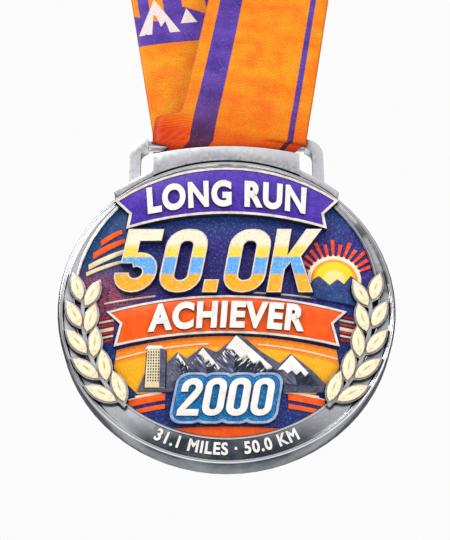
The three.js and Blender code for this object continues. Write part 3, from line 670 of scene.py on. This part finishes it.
def slopeFinish(name, colour, deep, slant, snowLine):
    # rock streaked down its slope, with ragged snow above the snow line
    made, tree, shader = startMaterial(name, colour, 0.4)
    x, z = objectPlace(tree)[1:]
    down = calc(tree, "ADD", x, calc(tree, "MULTIPLY", z, slant))
    fall = calc(tree, "SUBTRACT", z, calc(tree, "MULTIPLY", x, slant))
    across, lengthways = calc(tree, "MULTIPLY", down, 3.2), calc(tree, "MULTIPLY", fall, 0.55)
    stretched = add(tree, "ShaderNodeCombineXYZ", {0: across, 1: lengthways})
    streak = noiseOf(tree, stretched.outputs[0], 420, 4, 0.6)
    shade = blendColours(tree, spread(tree, streak, 0.42, 0.58), deep, colour)
    height = spread(tree, z, onArt(0, -19, 0).z, onArt(0, -8, 0).z)
    snow = calc(tree, "ADD", streak, calc(tree, "MULTIPLY", calc(tree, "SUBTRACT", height, snowLine), 0.3))
    shade = blendColours(tree, spread(tree, snow, 0.55, 0.6), shade, srgb(240, 236, 230))
    tree.links.new(shade, shader.inputs["Base Color"])
    tree.links.new(bumpOf(tree, streak, 0.5, 0.00015), shader.inputs["Normal"])
    return made


litSlope = slopeFinish("litSlope", srgb(104, 104, 126), srgb(52, 54, 74), 0.9, 0.55)
shadedSlope = slopeFinish("shadedSlope", srgb(48, 54, 74), srgb(20, 26, 40), -0.9, 0.45)


def ridgedPeak(name, plan, order):
    # two slopes that meet on a raised ridge, one of them in shade, under a ragged cap of snow
    base = rangeFront - 0.15 + 0.07 * order
    high = base + 0.55
    form = bmesh.new()

    def at(place, z):
        return form.verts.new(onArt(place[0], place[1], z))

    heights = {"top": base + 0.3, "left": base, "right": base, "ridge": high}
    top, left, right, ridge = (at(plan[key], z) for key, z in heights.items())
    shoulder = at(between(plan["top"], plan["ridge"], 0.45), high)
    hidden = [at(plan[k], base - 0.3) for k in ("top", "left", "ridge", "right")]
    for corners, index in (
        ((top, shoulder, ridge, left), 0),
        ((top, right, ridge, shoulder), 1),
        ((top, left, hidden[1], hidden[0]), 0),
        ((left, ridge, hidden[2], hidden[1]), 0),
        ((ridge, right, hidden[3], hidden[2]), 0),
        ((right, top, hidden[0], hidden[3]), 0),
        ((hidden[0], hidden[1], hidden[2], hidden[3]), 0),
    ):
        face = form.faces.new(corners)
        face.material_index = index
    bmesh.ops.recalc_face_normals(form, faces=form.faces)
    body = objectFrom(name, form, [litSlope, shadedSlope])
    body.data.shade_flat()
    belongs(body, "medal", "slate_enamel")
    leftShare, rightShare = plan["snow"]
    start = between(plan["top"], plan["right"], rightShare)
    finish = between(plan["top"], plan["left"], leftShare)
    teeth = 7
    outline = [plan["top"], start]
    for i in range(1, teeth):
        place = between(start, finish, i / teeth)
        drop = (1.5 if i % 2 else -0.4) * rightShare * (1.2 - 0.5 * i / teeth)
        outline.append((place[0] + 0.25, place[1] - drop))
    outline.append(finish)
    prismOf(name + "Snow", outline[::-1], base, high + 0.12, white, "white_enamel", 0.08)


for order, plan in enumerate(peakPlan):
    ridgedPeak(f"peak{order + 1}", plan, order)


def archedLine(name, halfWidth, end, middle, xFrom, xTo, width, low, high, finish, slot):
    # a line that follows an arch between two places across the face
    rise = middle - end
    radius = (halfWidth**2 + rise**2) / (2 * rise)
    count = 14
    upper = []
    for i in range(count + 1):
        x = xFrom + (xTo - xFrom) * i / count
        upper.append((x, middle - radius + math.sqrt(radius**2 - x**2)))
    lower = [(x, y - width) for x, y in reversed(upper)]
    return prismOf(name, upper + lower, low, high, finish, slot, 0.05)


enamelFront = frontOf("field_enamel")
skyFront = frontOf("sky_enamel")
linePlan = [
    ("skyLineLeft", 26.5, -12.9, -8.7, -26.6, -4.4, 0.42, skyFront - 0.02, skyFront + 0.2, cream),
    ("skyLineRight", 26.5, -12.9, -8.7, 7.6, 26.6, 0.42, skyFront - 0.02, skyFront + 0.2, cream),
    ("groundLeft", 29, -24.4, -20.2, -21.6, -15.6, 0.6, enamelFront - 0.02, enamelFront + 0.35, white),
    ("groundRight", 29, -24.4, -20.2, 13.6, 21.8, 0.6, enamelFront - 0.02, enamelFront + 0.35, white),
    ("stripeEdgeLeft", 29, -25.15, -20.35, -26.2, -15.4, 0.3, enamelFront - 0.02, enamelFront + 0.42, cream),
    ("stripeEdgeRight", 29, -25.15, -20.35, 15.4, 26.2, 0.3, enamelFront - 0.02, enamelFront + 0.42, cream),
    ("secondLineLeft", 30, 2.0, 5.2, -30.0, -17.5, 0.38, enamelFront - 0.02, enamelFront + 0.35, cream),
    ("secondLineRight", 30, 2.0, 5.2, 3.5, 24.0, 0.38, enamelFront - 0.02, enamelFront + 0.35, cream),
]
for name, half, end, middle, xFrom, xTo, width, low, high, finish in linePlan:
    archedLine(name, half, end, middle, xFrom, xTo, width, low, high, finish, "cream_enamel")

dashPlan = {
    "outer": 31.6, "inner": 27.4, "top": -1.3, "step": 1.05, "count": 7, "slope": 0.22,
    "redTall": 0.62, "creamTall": 0.5, "middleTall": 0.9,
}
for side, sideName in ((-1, "Left"), (1, "Right")):
    for i in range(dashPlan["count"]):
        y = dashPlan["top"] - dashPlan["step"] * i
        tall = dashPlan["creamTall"] if i % 2 else dashPlan["redTall"]
        if i == dashPlan["count"] // 2:
            tall = dashPlan["middleTall"]
        inner, outer = dashPlan["inner"], dashPlan["outer"]
        drop = dashPlan["slope"] * (outer - inner)
        corners = [(inner, y), (outer, y - drop), (outer, y - drop - tall), (inner, y - tall)]
        outline = [(side * cornerX, cornerY) for cornerX, cornerY in corners][::side]
        tone, slotName = (cream, "cream_enamel") if i % 2 else (red, "orange_enamel")
        low, high = enamelFront - 0.02, enamelFront + 0.3
        prismOf(f"dash{sideName}{i + 1}", outline, low, high, tone, slotName, 0.05)
print("mountains and lines made")


# what repeats
def newTree(name, sockets):
    # a tree with a mesh and the named inputs going in and a mesh coming out
    tree = bpy.data.node_groups.new(name, "GeometryNodeTree")
    tree.interface.new_socket("Geometry", in_out="INPUT", socket_type="NodeSocketGeometry")
    for label, kind in sockets.items():
        tree.interface.new_socket(label, in_out="INPUT", socket_type="NodeSocket" + kind)
    tree.interface.new_socket("Geometry", in_out="OUTPUT", socket_type="NodeSocketGeometry")
    return tree, tree.nodes.new("NodeGroupInput").outputs


def finishTree(tree, geometry, finish):
    # turns the instances into a real mesh, gives it its finish and sends it out
    real = add(tree, "GeometryNodeRealizeInstances", {"Geometry": geometry})
    painted = add(tree, "GeometryNodeSetMaterial", {"Geometry": real.outputs[0], "Material": finish})
    result = tree.nodes.new("NodeGroupOutput")
    tree.links.new(painted.outputs[0], result.inputs[0])
    return tree


def gridTree():
    # a grid of one small block over a wall, its sizes as named inputs
    tree, given = newTree("windowGrid", {
        "Columns": "Int", "Rows": "Int", "Width": "Float", "Height": "Float",
        "Block Size": "Vector", "Place": "Vector", "Finish": "Material",
    })
    wall = add(tree, "GeometryNodeMeshGrid", {"Size X": given["Width"], "Size Y": given["Height"],
                                              "Vertices X": given["Columns"], "Vertices Y": given["Rows"]})
    upright = add(tree, "GeometryNodeTransform",
                  {"Geometry": wall.outputs["Mesh"], "Rotation": (math.pi / 2, 0, 0)})
    block = add(tree, "GeometryNodeMeshCube", {"Size": given["Block Size"]})
    many = add(tree, "GeometryNodeInstanceOnPoints",
               {"Points": upright.outputs[0], "Instance": block.outputs["Mesh"]})
    placed = add(tree, "GeometryNodeTransform", {"Geometry": many.outputs[0], "Translation": given["Place"]})
    return finishTree(tree, placed.outputs[0], given["Finish"])


def rowTree():
    # a row of rounded stitches from a start point, each one step further on
    tree, given = newTree("stitchRow", {
        "Count": "Int", "Start": "Vector", "Step": "Vector", "Turn": "Vector",
        "Thread": "Float", "Length": "Float", "Finish": "Material",
    })
    line = add(tree, "GeometryNodeMeshLine", {"Count": given["Count"], "Start Location": given["Start"],
                                              "Offset": given["Step"]})
    ball = add(tree, "GeometryNodeMeshUVSphere", {"Segments": 8, "Rings": 6, "Radius": 0.5})
    size = add(tree, "ShaderNodeCombineXYZ", {0: given["Length"], 1: given["Thread"], 2: given["Thread"]})
    many = add(tree, "GeometryNodeInstanceOnPoints",
               {"Points": line.outputs[0], "Instance": ball.outputs["Mesh"],
                "Rotation": given["Turn"], "Scale": size.outputs[0]})
    return finishTree(tree, many.outputs[0], given["Finish"])


def grownFrom(name, tree, values):
    # runs a tree on an empty mesh and keeps what it makes as a plain mesh
    seed = bpy.data.objects.new(name + "Seed", bpy.data.meshes.new(name + "Seed"))
    bpy.context.scene.collection.objects.link(seed)
    grower = seed.modifiers.new("grower", "NODES")
    grower.node_group = tree
    for item in tree.interface.items_tree:
        if item.in_out == "INPUT" and item.name in values:
            grower[item.identifier] = values[item.name]
    bpy.context.view_layer.update()
    evaluated = seed.evaluated_get(bpy.context.evaluated_depsgraph_get())
    mesh = bpy.data.meshes.new_from_object(evaluated)
    seed.modifiers.remove(grower)
    bpy.data.objects.remove(seed)
    made = bpy.data.objects.new(name, mesh)
    bpy.context.scene.collection.objects.link(made)
    return made


towerLow, towerHigh = boxOf("tower")
towerFront = frontOf("tower")
towerMiddle = (towerLow.z + towerHigh.z) / 2
windows = grownFrom("towerWindows", gridTree(), {
    "Columns": 5, "Rows": 11, "Width": 2.5 * mm, "Height": 7.6 * mm,
    "Block Size": (0.3 * mm, 0.1 * mm, 0.42 * mm),
    "Place": Vector((towerLow.x + 2.0 * mm, towerLow.y - 0.01 * mm, towerMiddle + 0.2 * mm)),
    "Finish": nightSlate,
})
belongs(windows, "medal", "slate_enamel")
prismOf("towerShade", [(-15.95, -20.6), (-14.55, -20.6), (-14.55, -11.1), (-15.95, -10.35)],
        towerFront - 0.05, towerFront + 0.12, slate, "slate_enamel", 0.05)
prismOf("towerCrown", [(-19.5, -10.7), (-15.1, -10.7), (-15.6, -9.9), (-18.8, -9.9)], towerFront - 0.5,
        towerFront + 0.3, white, "white_enamel", 0.06)
print("windows made")

# ribbon
ribbonPlan = {
    "width": 35, "thick": 0.62, "wrapRadius": 2.2, "tail": 262, "shift": 2.6, "frontShift": 1.4,
    "lapBehind": 0.7, "lapFoot": 10, "spread": 8.7, "spreadOver": 12, "frontSpreadOver": 0.6, "lean": 8,
    "partAt": 112, "levelAt": 215, "belly": 0.9, "bellyAt": 8, "across": 44, "step": 1.0,
    "collarStations": 150, "wrapStations": 18, "ripple": 0.35, "cup": 0.44,
    "flare": 6.6, "flareShare": 0.09, "flareRises": (2, 5), "flareFades": (9, 12.5),
    "collar": [  # places from the top of a tail, each with the way the printed side faces
        ((0, 0, 0), (0, -1, 0)), ((2.8, 1.2, 17), (0.1, -0.95, 0.2)), ((7.6, 13, 32), (0.45, -0.62, 0.6)),
        ((9.6, 33, 43), (0.82, -0.2, 0.5)), ((4.0, 58, 52), (0.9, 0.25, 0.38)),
        ((-14, 84.5, 59.5), (0.6, 0.72, 0.32)),
    ],
    "nape": (92, 62),
}


def smooth(value, low, high):
    t = min(1, max(0, (value - low) / (high - low)))
    return t * t * (3 - 2 * t)


def tailPath(side):
    # stations up one tail in the chest frame: how far along, place, widthways and the printed side
    plan = ribbonPlan
    made = []
    x, z, fine = plan["shift"], 0.0, 0.5
    over = plan["frontSpreadOver"] if side > 0 else plan["spreadOver"]
    for i in range(int(plan["tail"] / fine) + 1):
        s = i * fine
        lean = math.radians(plan["spread"]) * smooth(s, 0, over)
        level = 1 - smooth(s, plan["partAt"], plan["levelAt"])
        belly = plan["belly"] * math.sin(math.pi * min(1, s / (2 * plan["bellyAt"]))) if side > 0 else 0
        if i % int(plan["step"] / fine) == 0:
            nudge = plan["frontShift"] * (1 - smooth(s, 120, 240)) if side > 0 else 0
            place = Vector((side * x + nudge, -side * plan["wrapRadius"] * level - belly, z))
            widthways = Vector((side * math.cos(lean), 0, -math.sin(lean)))
            made.append((s, place, widthways, Vector((0, -1, 0))))
        x += math.sin(lean) * fine
        z += math.cos(lean) * fine
    return made


def throughPoints(points, share):
    # a smooth curve through the points, at a share of its spans
    spans = len(points) - 1
    i = min(spans - 1, int(share * spans))
    t = share * spans - i
    a, b, c, d = (points[min(spans, max(0, i + k))] for k in (-1, 0, 1, 2))
    return 0.5 * (2 * b + (c - a) * t + (2 * a - 5 * b + 4 * c - d) * t * t + (3 * b - a - 3 * c + d) * t**3)


def strapStations():
    # from the foot of the left tail, round the neck, down the right tail, under the bar and up to the lap
    plan = ribbonPlan
    lean = math.radians(plan["lean"])
    right = tailPath(1)
    left = tailPath(-1)
    end = right[-1][1]
    places = [Vector((end.x + x, y, end.z + z)) for (x, y, z), face in plan["collar"]]
    faces = [Vector(face) for offset, face in plan["collar"]]
    places.append(Vector((0, plan["nape"][0], end.z + plan["nape"][1])))
    faces.append(Vector((0, math.cos(lean), math.sin(lean))))
    flip = Vector((-1, 1, 1))
    places += [p * flip for p in reversed(places[:-1])]
    faces += [f * flip for f in reversed(faces[:-1])]
    count = plan["collarStations"]
    collar = [(throughPoints(places, i / count), throughPoints(faces, i / count)) for i in range(1, count)]
    made = [(p, f, w) for s, p, w, f in left[1:]]
    made += [(p, f, None) for p, f in reversed(collar)]
    made += [(p, f, w) for s, p, w, f in reversed(right)]
    turns = plan["wrapStations"]
    for i in range(1, turns + 1):
        a = math.pi * (1 + i / turns)
        out = Vector((0, math.cos(a), math.sin(a)))
        place = out * plan["wrapRadius"]
        place.x = plan["shift"] * (1 - 2 * i / turns) + plan["frontShift"] * (1 - i / turns)
        made.append((place, out, Vector((1, 0, 0))))
    behind = Vector((0, plan["lapBehind"], 0))
    for s, p, w, f in left:
        if 0 < s <= plan["lapFoot"]:
            made.append((p + behind * smooth(s, 0, 3), -f, -w))
    return made


lean = Matrix.Rotation(-math.radians(ribbonPlan["lean"]), 4, "X")


def inRow(point):
    return barPlace + (lean @ point) * mm


def ribbonMesh():
    stations = strapStations()
    count = len(stations)
    across = ribbonPlan["across"]
    travelled = [0.0]
    for here, following in zip(stations, stations[1:]):
        travelled.append(travelled[-1] + (following[0] - here[0]).length)
    barAt = travelled[min(range(count), key=lambda i: stations[i][0].z)]
    form = bmesh.new()
    strip = form.loops.layers.uv.new("strip")
    layers = []
    for i, (place, face, widthways) in enumerate(stations):
        along = (stations[min(count - 1, i + 1)][0] - stations[max(0, i - 1)][0]).normalized()
        side = widthways or face.cross(along).normalized()
        out = face if widthways else along.cross(side).normalized()
        before = barAt - travelled[i]  # how far up the front tail
        loose = smooth(min(abs(before), travelled[i]), 6, 40)
        flare = ribbonPlan["flare"] * (1 - smooth(before, *ribbonPlan["flareFades"]))
        flare *= smooth(before, *ribbonPlan["flareRises"])
        outer, inner = [], []
        for j in range(across + 1):
            u = j / across
            w = 2 * u - 1
            wave = noise.noise(Vector((w * 0.7, travelled[i] * 0.021, 0.3))) * ribbonPlan["ripple"] * 3.2
            edge = noise.noise(Vector((w * 3.0, travelled[i] * 0.05, 7.7))) * ribbonPlan["ripple"] * w * w
            lift = (wave + edge) * loose - ribbonPlan["cup"] * (w * w - 0.4) * loose
            flared = flare * max(0, 1 - u / ribbonPlan["flareShare"])
            at = place + side * (w * ribbonPlan["width"] / 2 - flared)
            outer.append(form.verts.new(inRow(at + out * (lift + ribbonPlan["thick"] / 2))))
            inner.append(form.verts.new(inRow(at + out * (lift - ribbonPlan["thick"] / 2))))
        layers.append((outer, inner))

    def quad(corners, uvs, index):
        face = form.faces.new(corners)
        face.material_index = index
        for loop, uv in zip(face.loops, uvs):
            loop[strip].uv = uv

    for i in range(count - 1):
        outer, inner = layers[i]
        nextOuter, nextInner = layers[i + 1]
        v, w = travelled[i] * mm, travelled[i + 1] * mm
        for j in range(across):
            a, b = j / across, (j + 1) / across
            uvs = [(a, v), (b, v), (b, w), (a, w)]
            quad((outer[j], outer[j + 1], nextOuter[j + 1], nextOuter[j]), uvs, 0)
            turnedUvs = [uvs[0], uvs[3], uvs[2], uvs[1]]
            quad((inner[j], nextInner[j], nextInner[j + 1], inner[j + 1]), turnedUvs, 1)
        for j, u in ((0, 0.0), (across, 1.0)):
            ends = (outer[j], inner[j], nextInner[j], nextOuter[j])
            quad(ends if j else ends[::-1], [(u, v), (u, v), (u, w), (u, w)], 0)
    for i in (0, count - 1):
        outer, inner = layers[i]
        for j in range(across):
            quad((outer[j], outer[j + 1], inner[j + 1], inner[j]), [(j / across, travelled[i] * mm)] * 4, 0)
    bmesh.ops.recalc_face_normals(form, faces=form.faces)
    return form, travelled[-1], barAt


printPlan = {  # shares of the strap's width, and metres along it
    "stripes": [(0.10, 0.285), (0.852, 0.898)],
    "bars": [(0.05, 0.14), (0.26, 0.42), (0.62, 0.8)],
    "soft": 0.003, "blockAt": 0.042, "blockTall": 0.0091, "barsTall": 0.036, "barSlant": 0.012,
    "stripesFrom": 0.0518, "crisp": 0.0001,
    "peaks": [(0.19, 0.082, 0.0185, 0.0042), (0.45, 0.085, 0.0135, 0.0075)],  # middle, slope, top and foot
}


def anyBand(tree, value, bands):
    # one inside any of the bands, none elsewhere
    marks = [band(tree, value, low, high, printPlan["soft"]) for low, high in bands]
    whole = marks[0]
    for mark in marks[1:]:
        whole = calc(tree, "MAXIMUM", whole, mark)
    return whole


def strapPrint(tree, shade, ink, edgeU, v):
    # two stripes, and at the foot of the left tail a block with white peaks under three bars
    crisp = printPlan["crisp"]
    turned = calc(tree, "SUBTRACT", 1.0, edgeU)
    rise = calc(tree, "SUBTRACT", v, printPlan["blockAt"])
    tail = spread(tree, rise, printPlan["stripesFrom"], printPlan["stripesFrom"] + 2 * crisp)
    stripes = calc(tree, "MULTIPLY", anyBand(tree, edgeU, printPlan["stripes"]), tail)
    slanted = calc(tree, "SUBTRACT", rise, calc(tree, "MULTIPLY", turned, printPlan["barSlant"]))
    bars = anyBand(tree, turned, printPlan["bars"])
    bars = calc(tree, "MULTIPLY", bars, band(tree, slanted, 0.0, printPlan["barsTall"], crisp))
    swell = calc(tree, "MULTIPLY", calc(tree, "PINGPONG", calc(tree, "SUBTRACT", turned, 0.18), 0.25), 0.02)
    belowTop = spread(tree, calc(tree, "SUBTRACT", rise, swell), printPlan["blockTall"],
                      printPlan["blockTall"] + 2 * crisp, 1.0, 0.0)
    block = calc(tree, "MULTIPLY", spread(tree, rise, -crisp, crisp), belowTop)
    marks = calc(tree, "MAXIMUM", stripes, calc(tree, "MAXIMUM", bars, block))
    shade = blendColours(tree, marks, shade, ink)
    for middle, slope, tall, foot in printPlan["peaks"]:
        away = calc(tree, "ABSOLUTE", calc(tree, "SUBTRACT", turned, middle))
        roof = calc(tree, "SUBTRACT", tall, calc(tree, "MULTIPLY", away, slope))
        zigzag = calc(tree, "PINGPONG", calc(tree, "SUBTRACT", turned, middle - 0.205), 0.045)
        cap = calc(tree, "ADD", calc(tree, "MULTIPLY", zigzag, 0.13), 0.0042)
        floor = calc(tree, "MAXIMUM", calc(tree, "SUBTRACT", roof, cap), foot)
        under = spread(tree, calc(tree, "SUBTRACT", roof, rise), -crisp, crisp)
        over = spread(tree, calc(tree, "SUBTRACT", rise, floor), -crisp, crisp)
        shade = blendColours(tree, calc(tree, "MULTIPLY", under, over), shade, srgb(248, 246, 246))
    return shade


def ribbonFinish(name, printed, barAt):
    # orange satin in a twill weave, with painted shade in the weave's hollows, where it turns on the bar and
    # in the creases beside the bar
    made, tree, shader = startMaterial(name, srgb(255, 120, 10), 0.5, sheen=0.03)
    shader.inputs["Sheen Roughness"].default_value = 0.35
    shader.inputs["Specular IOR Level"].default_value = 0.16
    uv = add(tree, "ShaderNodeUVMap", uv_map="strip").outputs[0]
    parts = add(tree, "ShaderNodeSeparateXYZ", {0: uv})
    u, v = parts.outputs[0], parts.outputs[1]
    along = calc(tree, "MULTIPLY", u, ribbonPlan["width"] * mm)
    cloth = add(tree, "ShaderNodeCombineXYZ", {0: along, 1: v}).outputs[0]
    fuzz = noiseOf(tree, cloth, 2400, 2)
    edgeU = calc(tree, "ADD", u, calc(tree, "MULTIPLY", calc(tree, "SUBTRACT", fuzz, 0.5), 0.008))
    tint = spread(tree, noiseOf(tree, cloth, 160, 4), 0.35, 0.65)
    shade = blendColours(tree, tint, srgb(255, 134, 0), srgb(255, 172, 12))
    ink = blendColours(tree, tint, srgb(76, 50, 160), srgb(106, 78, 196))
    if printed:
        shade = strapPrint(tree, shade, ink, edgeU, v)
    warp = calc(tree, "SINE", calc(tree, "MULTIPLY", calc(tree, "ADD", along, v), 2 * math.pi / 0.00088))
    weft = calc(tree, "SINE", calc(tree, "MULTIPLY", v, 2 * math.pi / 0.0006))
    weave = calc(tree, "ADD", calc(tree, "MULTIPLY", warp, 0.65), calc(tree, "MULTIPLY", weft, 0.35))
    thread = noiseOf(tree, cloth, 1900, 3)
    glint = spread(tree, cellsOf(tree, cloth, 1500).outputs["Distance"], 0.0, 0.35, 0.3, 0.0)
    lift = calc(tree, "ADD", calc(tree, "MULTIPLY", weave, 0.36), thread)
    # painted shade in the hollows of the weave, mixed with threads whose tone differs at random
    weaveShade = blendColours(tree, 1.0, shade, (0.62, 0.4, 0.36), "MULTIPLY")
    shade = blendColours(tree, spread(tree, lift, 0.05, 1.0, 0.9, 0.0), shade, weaveShade)
    glint = calc(tree, "MULTIPLY", glint, spread(tree, thread, 0.45, 0.6))
    shade = blendColours(tree, glint, shade, srgb(255, 212, 140))
    # painted shade where the ribbon turns under the bar, deepest next to it
    fromBar = calc(tree, "ABSOLUTE", calc(tree, "SUBTRACT", v, barAt * mm))
    for reach, most, tone in ((0.03, 0.85, (0.9, 0.5, 0.15)), (0.0085, 0.85, (0.8, 0.3, 0.15))):
        wearAndShade = blendColours(tree, 1.0, shade, tone, "MULTIPLY")
        shade = blendColours(tree, spread(tree, fromBar, 0.002, reach, most, 0.0), shade, wearAndShade)
    # painted shade in the crease near the strap's edge beside the bar
    nearEdge = spread(tree, u, 0.03, 0.15, 0.9, 0.0)
    corner = calc(tree, "MULTIPLY", nearEdge, spread(tree, fromBar, 0.006, 0.0135, 1.0, 0.0))
    shade = blendColours(tree, corner, shade, blendColours(tree, 1.0, shade, (0.85, 0.35, 0.25), "MULTIPLY"))
    hem = calc(tree, "MAXIMUM", spread(tree, u, 0.012, 0.0), spread(tree, u, 0.988, 1.0))
    shade = blendColours(tree, calc(tree, "MULTIPLY", hem, 0.5), shade, srgb(190, 60, 0))
    tree.links.new(shade, shader.inputs["Base Color"])
    tree.links.new(spread(tree, thread, 0.3, 0.7, 0.4, 0.6), shader.inputs["Roughness"])
    tree.links.new(bumpOf(tree, lift, 0.6, 0.00014), shader.inputs["Normal"])
    return made


ribbonForm, ribbonLength, barAt = ribbonMesh()
outerPrint = ribbonFinish("ribbonPrintedSide", True, barAt)
innerPrint = ribbonFinish("ribbonPlainSide", False, barAt)
ribbon = objectFrom("neckRibbon", ribbonForm, [outerPrint, innerPrint])
strapNodes = ("ribbon_bar_wrap", "ribbon_right_tail", "ribbon_left_tail", "ribbon_neck_band")
belongs(ribbon, "ribbon", "satin_ribbon", *strapNodes)
print("ribbon made,", round(ribbonLength), "mm of strap")

lapPlan = {"start": 9, "length": 14, "behind": 0.85, "rows": 2, "stitches": 22, "inset": 2.2}


def lapPiece():
    # the sewn end of the strap, on the back of the left tail
    stations = [t for t in tailPath(-1) if lapPlan["start"] <= t[0] <= lapPlan["start"] + lapPlan["length"]]
    form = bmesh.new()
    rows = []
    for s, place, side, face in stations:
        back = -face
        row = []
        for j in range(13):
            w = 2 * j / 12 - 1
            at = place + side * (w * (ribbonPlan["width"] - 0.3) / 2)
            bow = 0.12 * math.cos(w * 5)
            row.append((form.verts.new(inRow(at + back * (lapPlan["behind"] - 0.25 + bow))),
                        form.verts.new(inRow(at + back * (lapPlan["behind"] + 0.3 + bow)))))
        rows.append(row)
    for a, b in zip(rows, rows[1:]):
        for j in range(12):
            form.faces.new((a[j][1], a[j + 1][1], b[j + 1][1], b[j][1]))
            form.faces.new((a[j][0], b[j][0], b[j + 1][0], a[j + 1][0]))
        for j in (0, 12):
            form.faces.new((a[j][0], a[j][1], b[j][1], b[j][0]))
    for row in (rows[0], rows[-1]):
        for j in range(12):
            form.faces.new((row[j][0], row[j + 1][0], row[j + 1][1], row[j][1]))
    strip = form.loops.layers.uv.new("strip")
    for face in form.faces:
        for loop in face.loops:
            local = loop.vert.co
            loop[strip].uv = ((local.x - barPlace.x) / 0.035 + 0.56, 0.3 + local.z - barPlace.z)
    bmesh.ops.recalc_face_normals(form, faces=form.faces)
    return form, stations


lapForm, lapStations = lapPiece()
lap = bevelled(objectFrom("ribbonLap", lapForm, [innerPrint]), 0.15)
belongs(lap, "ribbon", "satin_ribbon", "ribbon_lap_joint")


def threadFinish():
    # dull twisted thread
    made, tree, shader = startMaterial("sewingThread", srgb(205, 92, 10), 0.6, sheen=0.2)
    where = objectPlace(tree)[0]
    twist = noiseOf(tree, where, 3000, 2)
    shade = blendColours(tree, twist, srgb(170, 70, 5), srgb(235, 120, 20))
    tree.links.new(shade, shader.inputs["Base Color"])
    return made


thread = threadFinish()
stitchTree = rowTree()
for rowNumber in range(lapPlan["rows"]):
    s, place, side, face = lapStations[1 if rowNumber == 0 else -2]
    reach = ribbonPlan["width"] / 2 - lapPlan["inset"]
    start = inRow(place - side * reach - face * (lapPlan["behind"] + 0.42))
    finish = inRow(place + side * reach - face * (lapPlan["behind"] + 0.42))
    step = (finish - start) / (lapPlan["stitches"] - 1)
    turn = Vector((1, 0, 0)).rotation_difference(step.normalized()).to_euler()
    stitches = grownFrom(f"lapStitches{rowNumber + 1}", stitchTree, {
        "Count": lapPlan["stitches"], "Start": start, "Step": step, "Turn": Vector(turn),
        "Thread": 0.34 * mm, "Length": 1.1 * mm, "Finish": thread,
    })
    belongs(stitches, "ribbon", "satin_ribbon")
print("lap and stitches made")

# studio
studioPlan = {
    "distance": 330, "elevation": -26.4, "azimuth": 0.0, "lens": 87.5, "aimUp": 8.4, "aimRight": -0.4,
    "floorBelow": 260, "worldStrength": 1.0, "floorGlow": 0.3,
}


def pale(name, colour, rough):
    # a matt pale surface with a faint glow, so that it stays light under soft lamps
    made, tree, shader = startMaterial(name, colour, rough)
    where = objectPlace(tree)[0]
    tone = spread(tree, noiseOf(tree, where, 3, 2), 0.3, 0.7, 0.97, 1.0)
    shade = blendColours(tree, tone, tuple(c * 0.97 for c in colour), colour)
    tree.links.new(shade, shader.inputs["Base Color"])
    shader.inputs["Emission Color"].default_value = (1, 1, 1, 1)
    shader.inputs["Emission Strength"].default_value = studioPlan["floorGlow"]
    return made


def studioFloor():
    form = bmesh.new()
    size, level = 60.0, cadLow.z - studioPlan["floorBelow"] * mm
    corners = ((-size, -size), (size, -size), (size, size), (-size, size))
    form.faces.new([form.verts.new((x, y, level)) for x, y in corners])
    made = objectFrom("studioFloor", form, [pale("paleFloor", (0.88, 0.88, 0.88), 0.8)])


studioFloor()

# a pale backdrop is seen, and a room that is dark low down, at the sides and behind lights the medal
world = bpy.data.worlds.new("paleStudio")
bpy.context.scene.world = world
world.use_nodes = True
skyTree = world.node_tree
skyWhere = add(skyTree, "ShaderNodeTexCoord").outputs["Generated"]
skyParts = add(skyTree, "ShaderNodeSeparateXYZ", {0: skyWhere})
overhead = spread(skyTree, skyParts.outputs[2], 0.15, 0.7, 0.2, 1.0)
sideways = spread(skyTree, calc(skyTree, "ABSOLUTE", skyParts.outputs[0]), 0.55, 0.9, 1.0, 0.12)
rear = spread(skyTree, skyParts.outputs[1], 0.0, 0.4, 1.0, 0.45)
roomLight = calc(skyTree, "MULTIPLY", calc(skyTree, "MULTIPLY", overhead, sideways), rear)
roomShade = blendColours(skyTree, roomLight, (0.03, 0.03, 0.035), (0.85, 0.85, 0.88))
seen = add(skyTree, "ShaderNodeLightPath").outputs["Is Camera Ray"]
skyShade = blendColours(skyTree, seen, roomShade, (0.97, 0.97, 0.97))
backdrop = skyTree.nodes["Background"]
skyTree.links.new(skyShade, backdrop.inputs["Color"])
backdrop.inputs["Strength"].default_value = studioPlan["worldStrength"]


def softLight(name, place, target, size, power):
    lamp = bpy.data.lights.new(name, "AREA")
    lamp.size = size
    lamp.energy = power
    made = bpy.data.objects.new(name, lamp)
    made.location = place
    made.rotation_euler = (target - made.location).to_track_quat("-Z", "Y").to_euler()
    bpy.context.scene.collection.objects.link(made)


softLight("keyLight", discCentre + Vector((-0.72, -0.55, 0.8)), discCentre, 0.5, 9)
softLight("fillLight", discCentre + Vector((0.7, -0.6, 0.1)), discCentre, 0.5, 2.6)

camera = bpy.data.objects.new("frontCamera", bpy.data.cameras.new("frontCamera"))
bpy.context.scene.collection.objects.link(camera)
bpy.context.scene.camera = camera
camera.data.lens = studioPlan["lens"]
camera.data.sensor_width = 36
camera.data.clip_start = 0.01
tilt = math.radians(studioPlan["elevation"])
turnAbout = math.radians(studioPlan["azimuth"])
faceMiddle = onFace(0, 0, lipTop)
level = math.cos(tilt)
backwards = Vector((math.sin(turnAbout) * level, -math.cos(turnAbout) * level, math.sin(tilt)))
camera.location = faceMiddle + backwards * studioPlan["distance"] * mm
upwards = Vector((0, math.sin(tilt), math.cos(tilt)))
aim = faceMiddle + upwards * studioPlan["aimUp"] * mm + Vector((studioPlan["aimRight"] * mm, 0, 0))
camera.rotation_euler = (aim - camera.location).to_track_quat("-Z", "Y").to_euler()
bpy.context.scene.view_settings.view_transform = "Standard"
print("studio made")
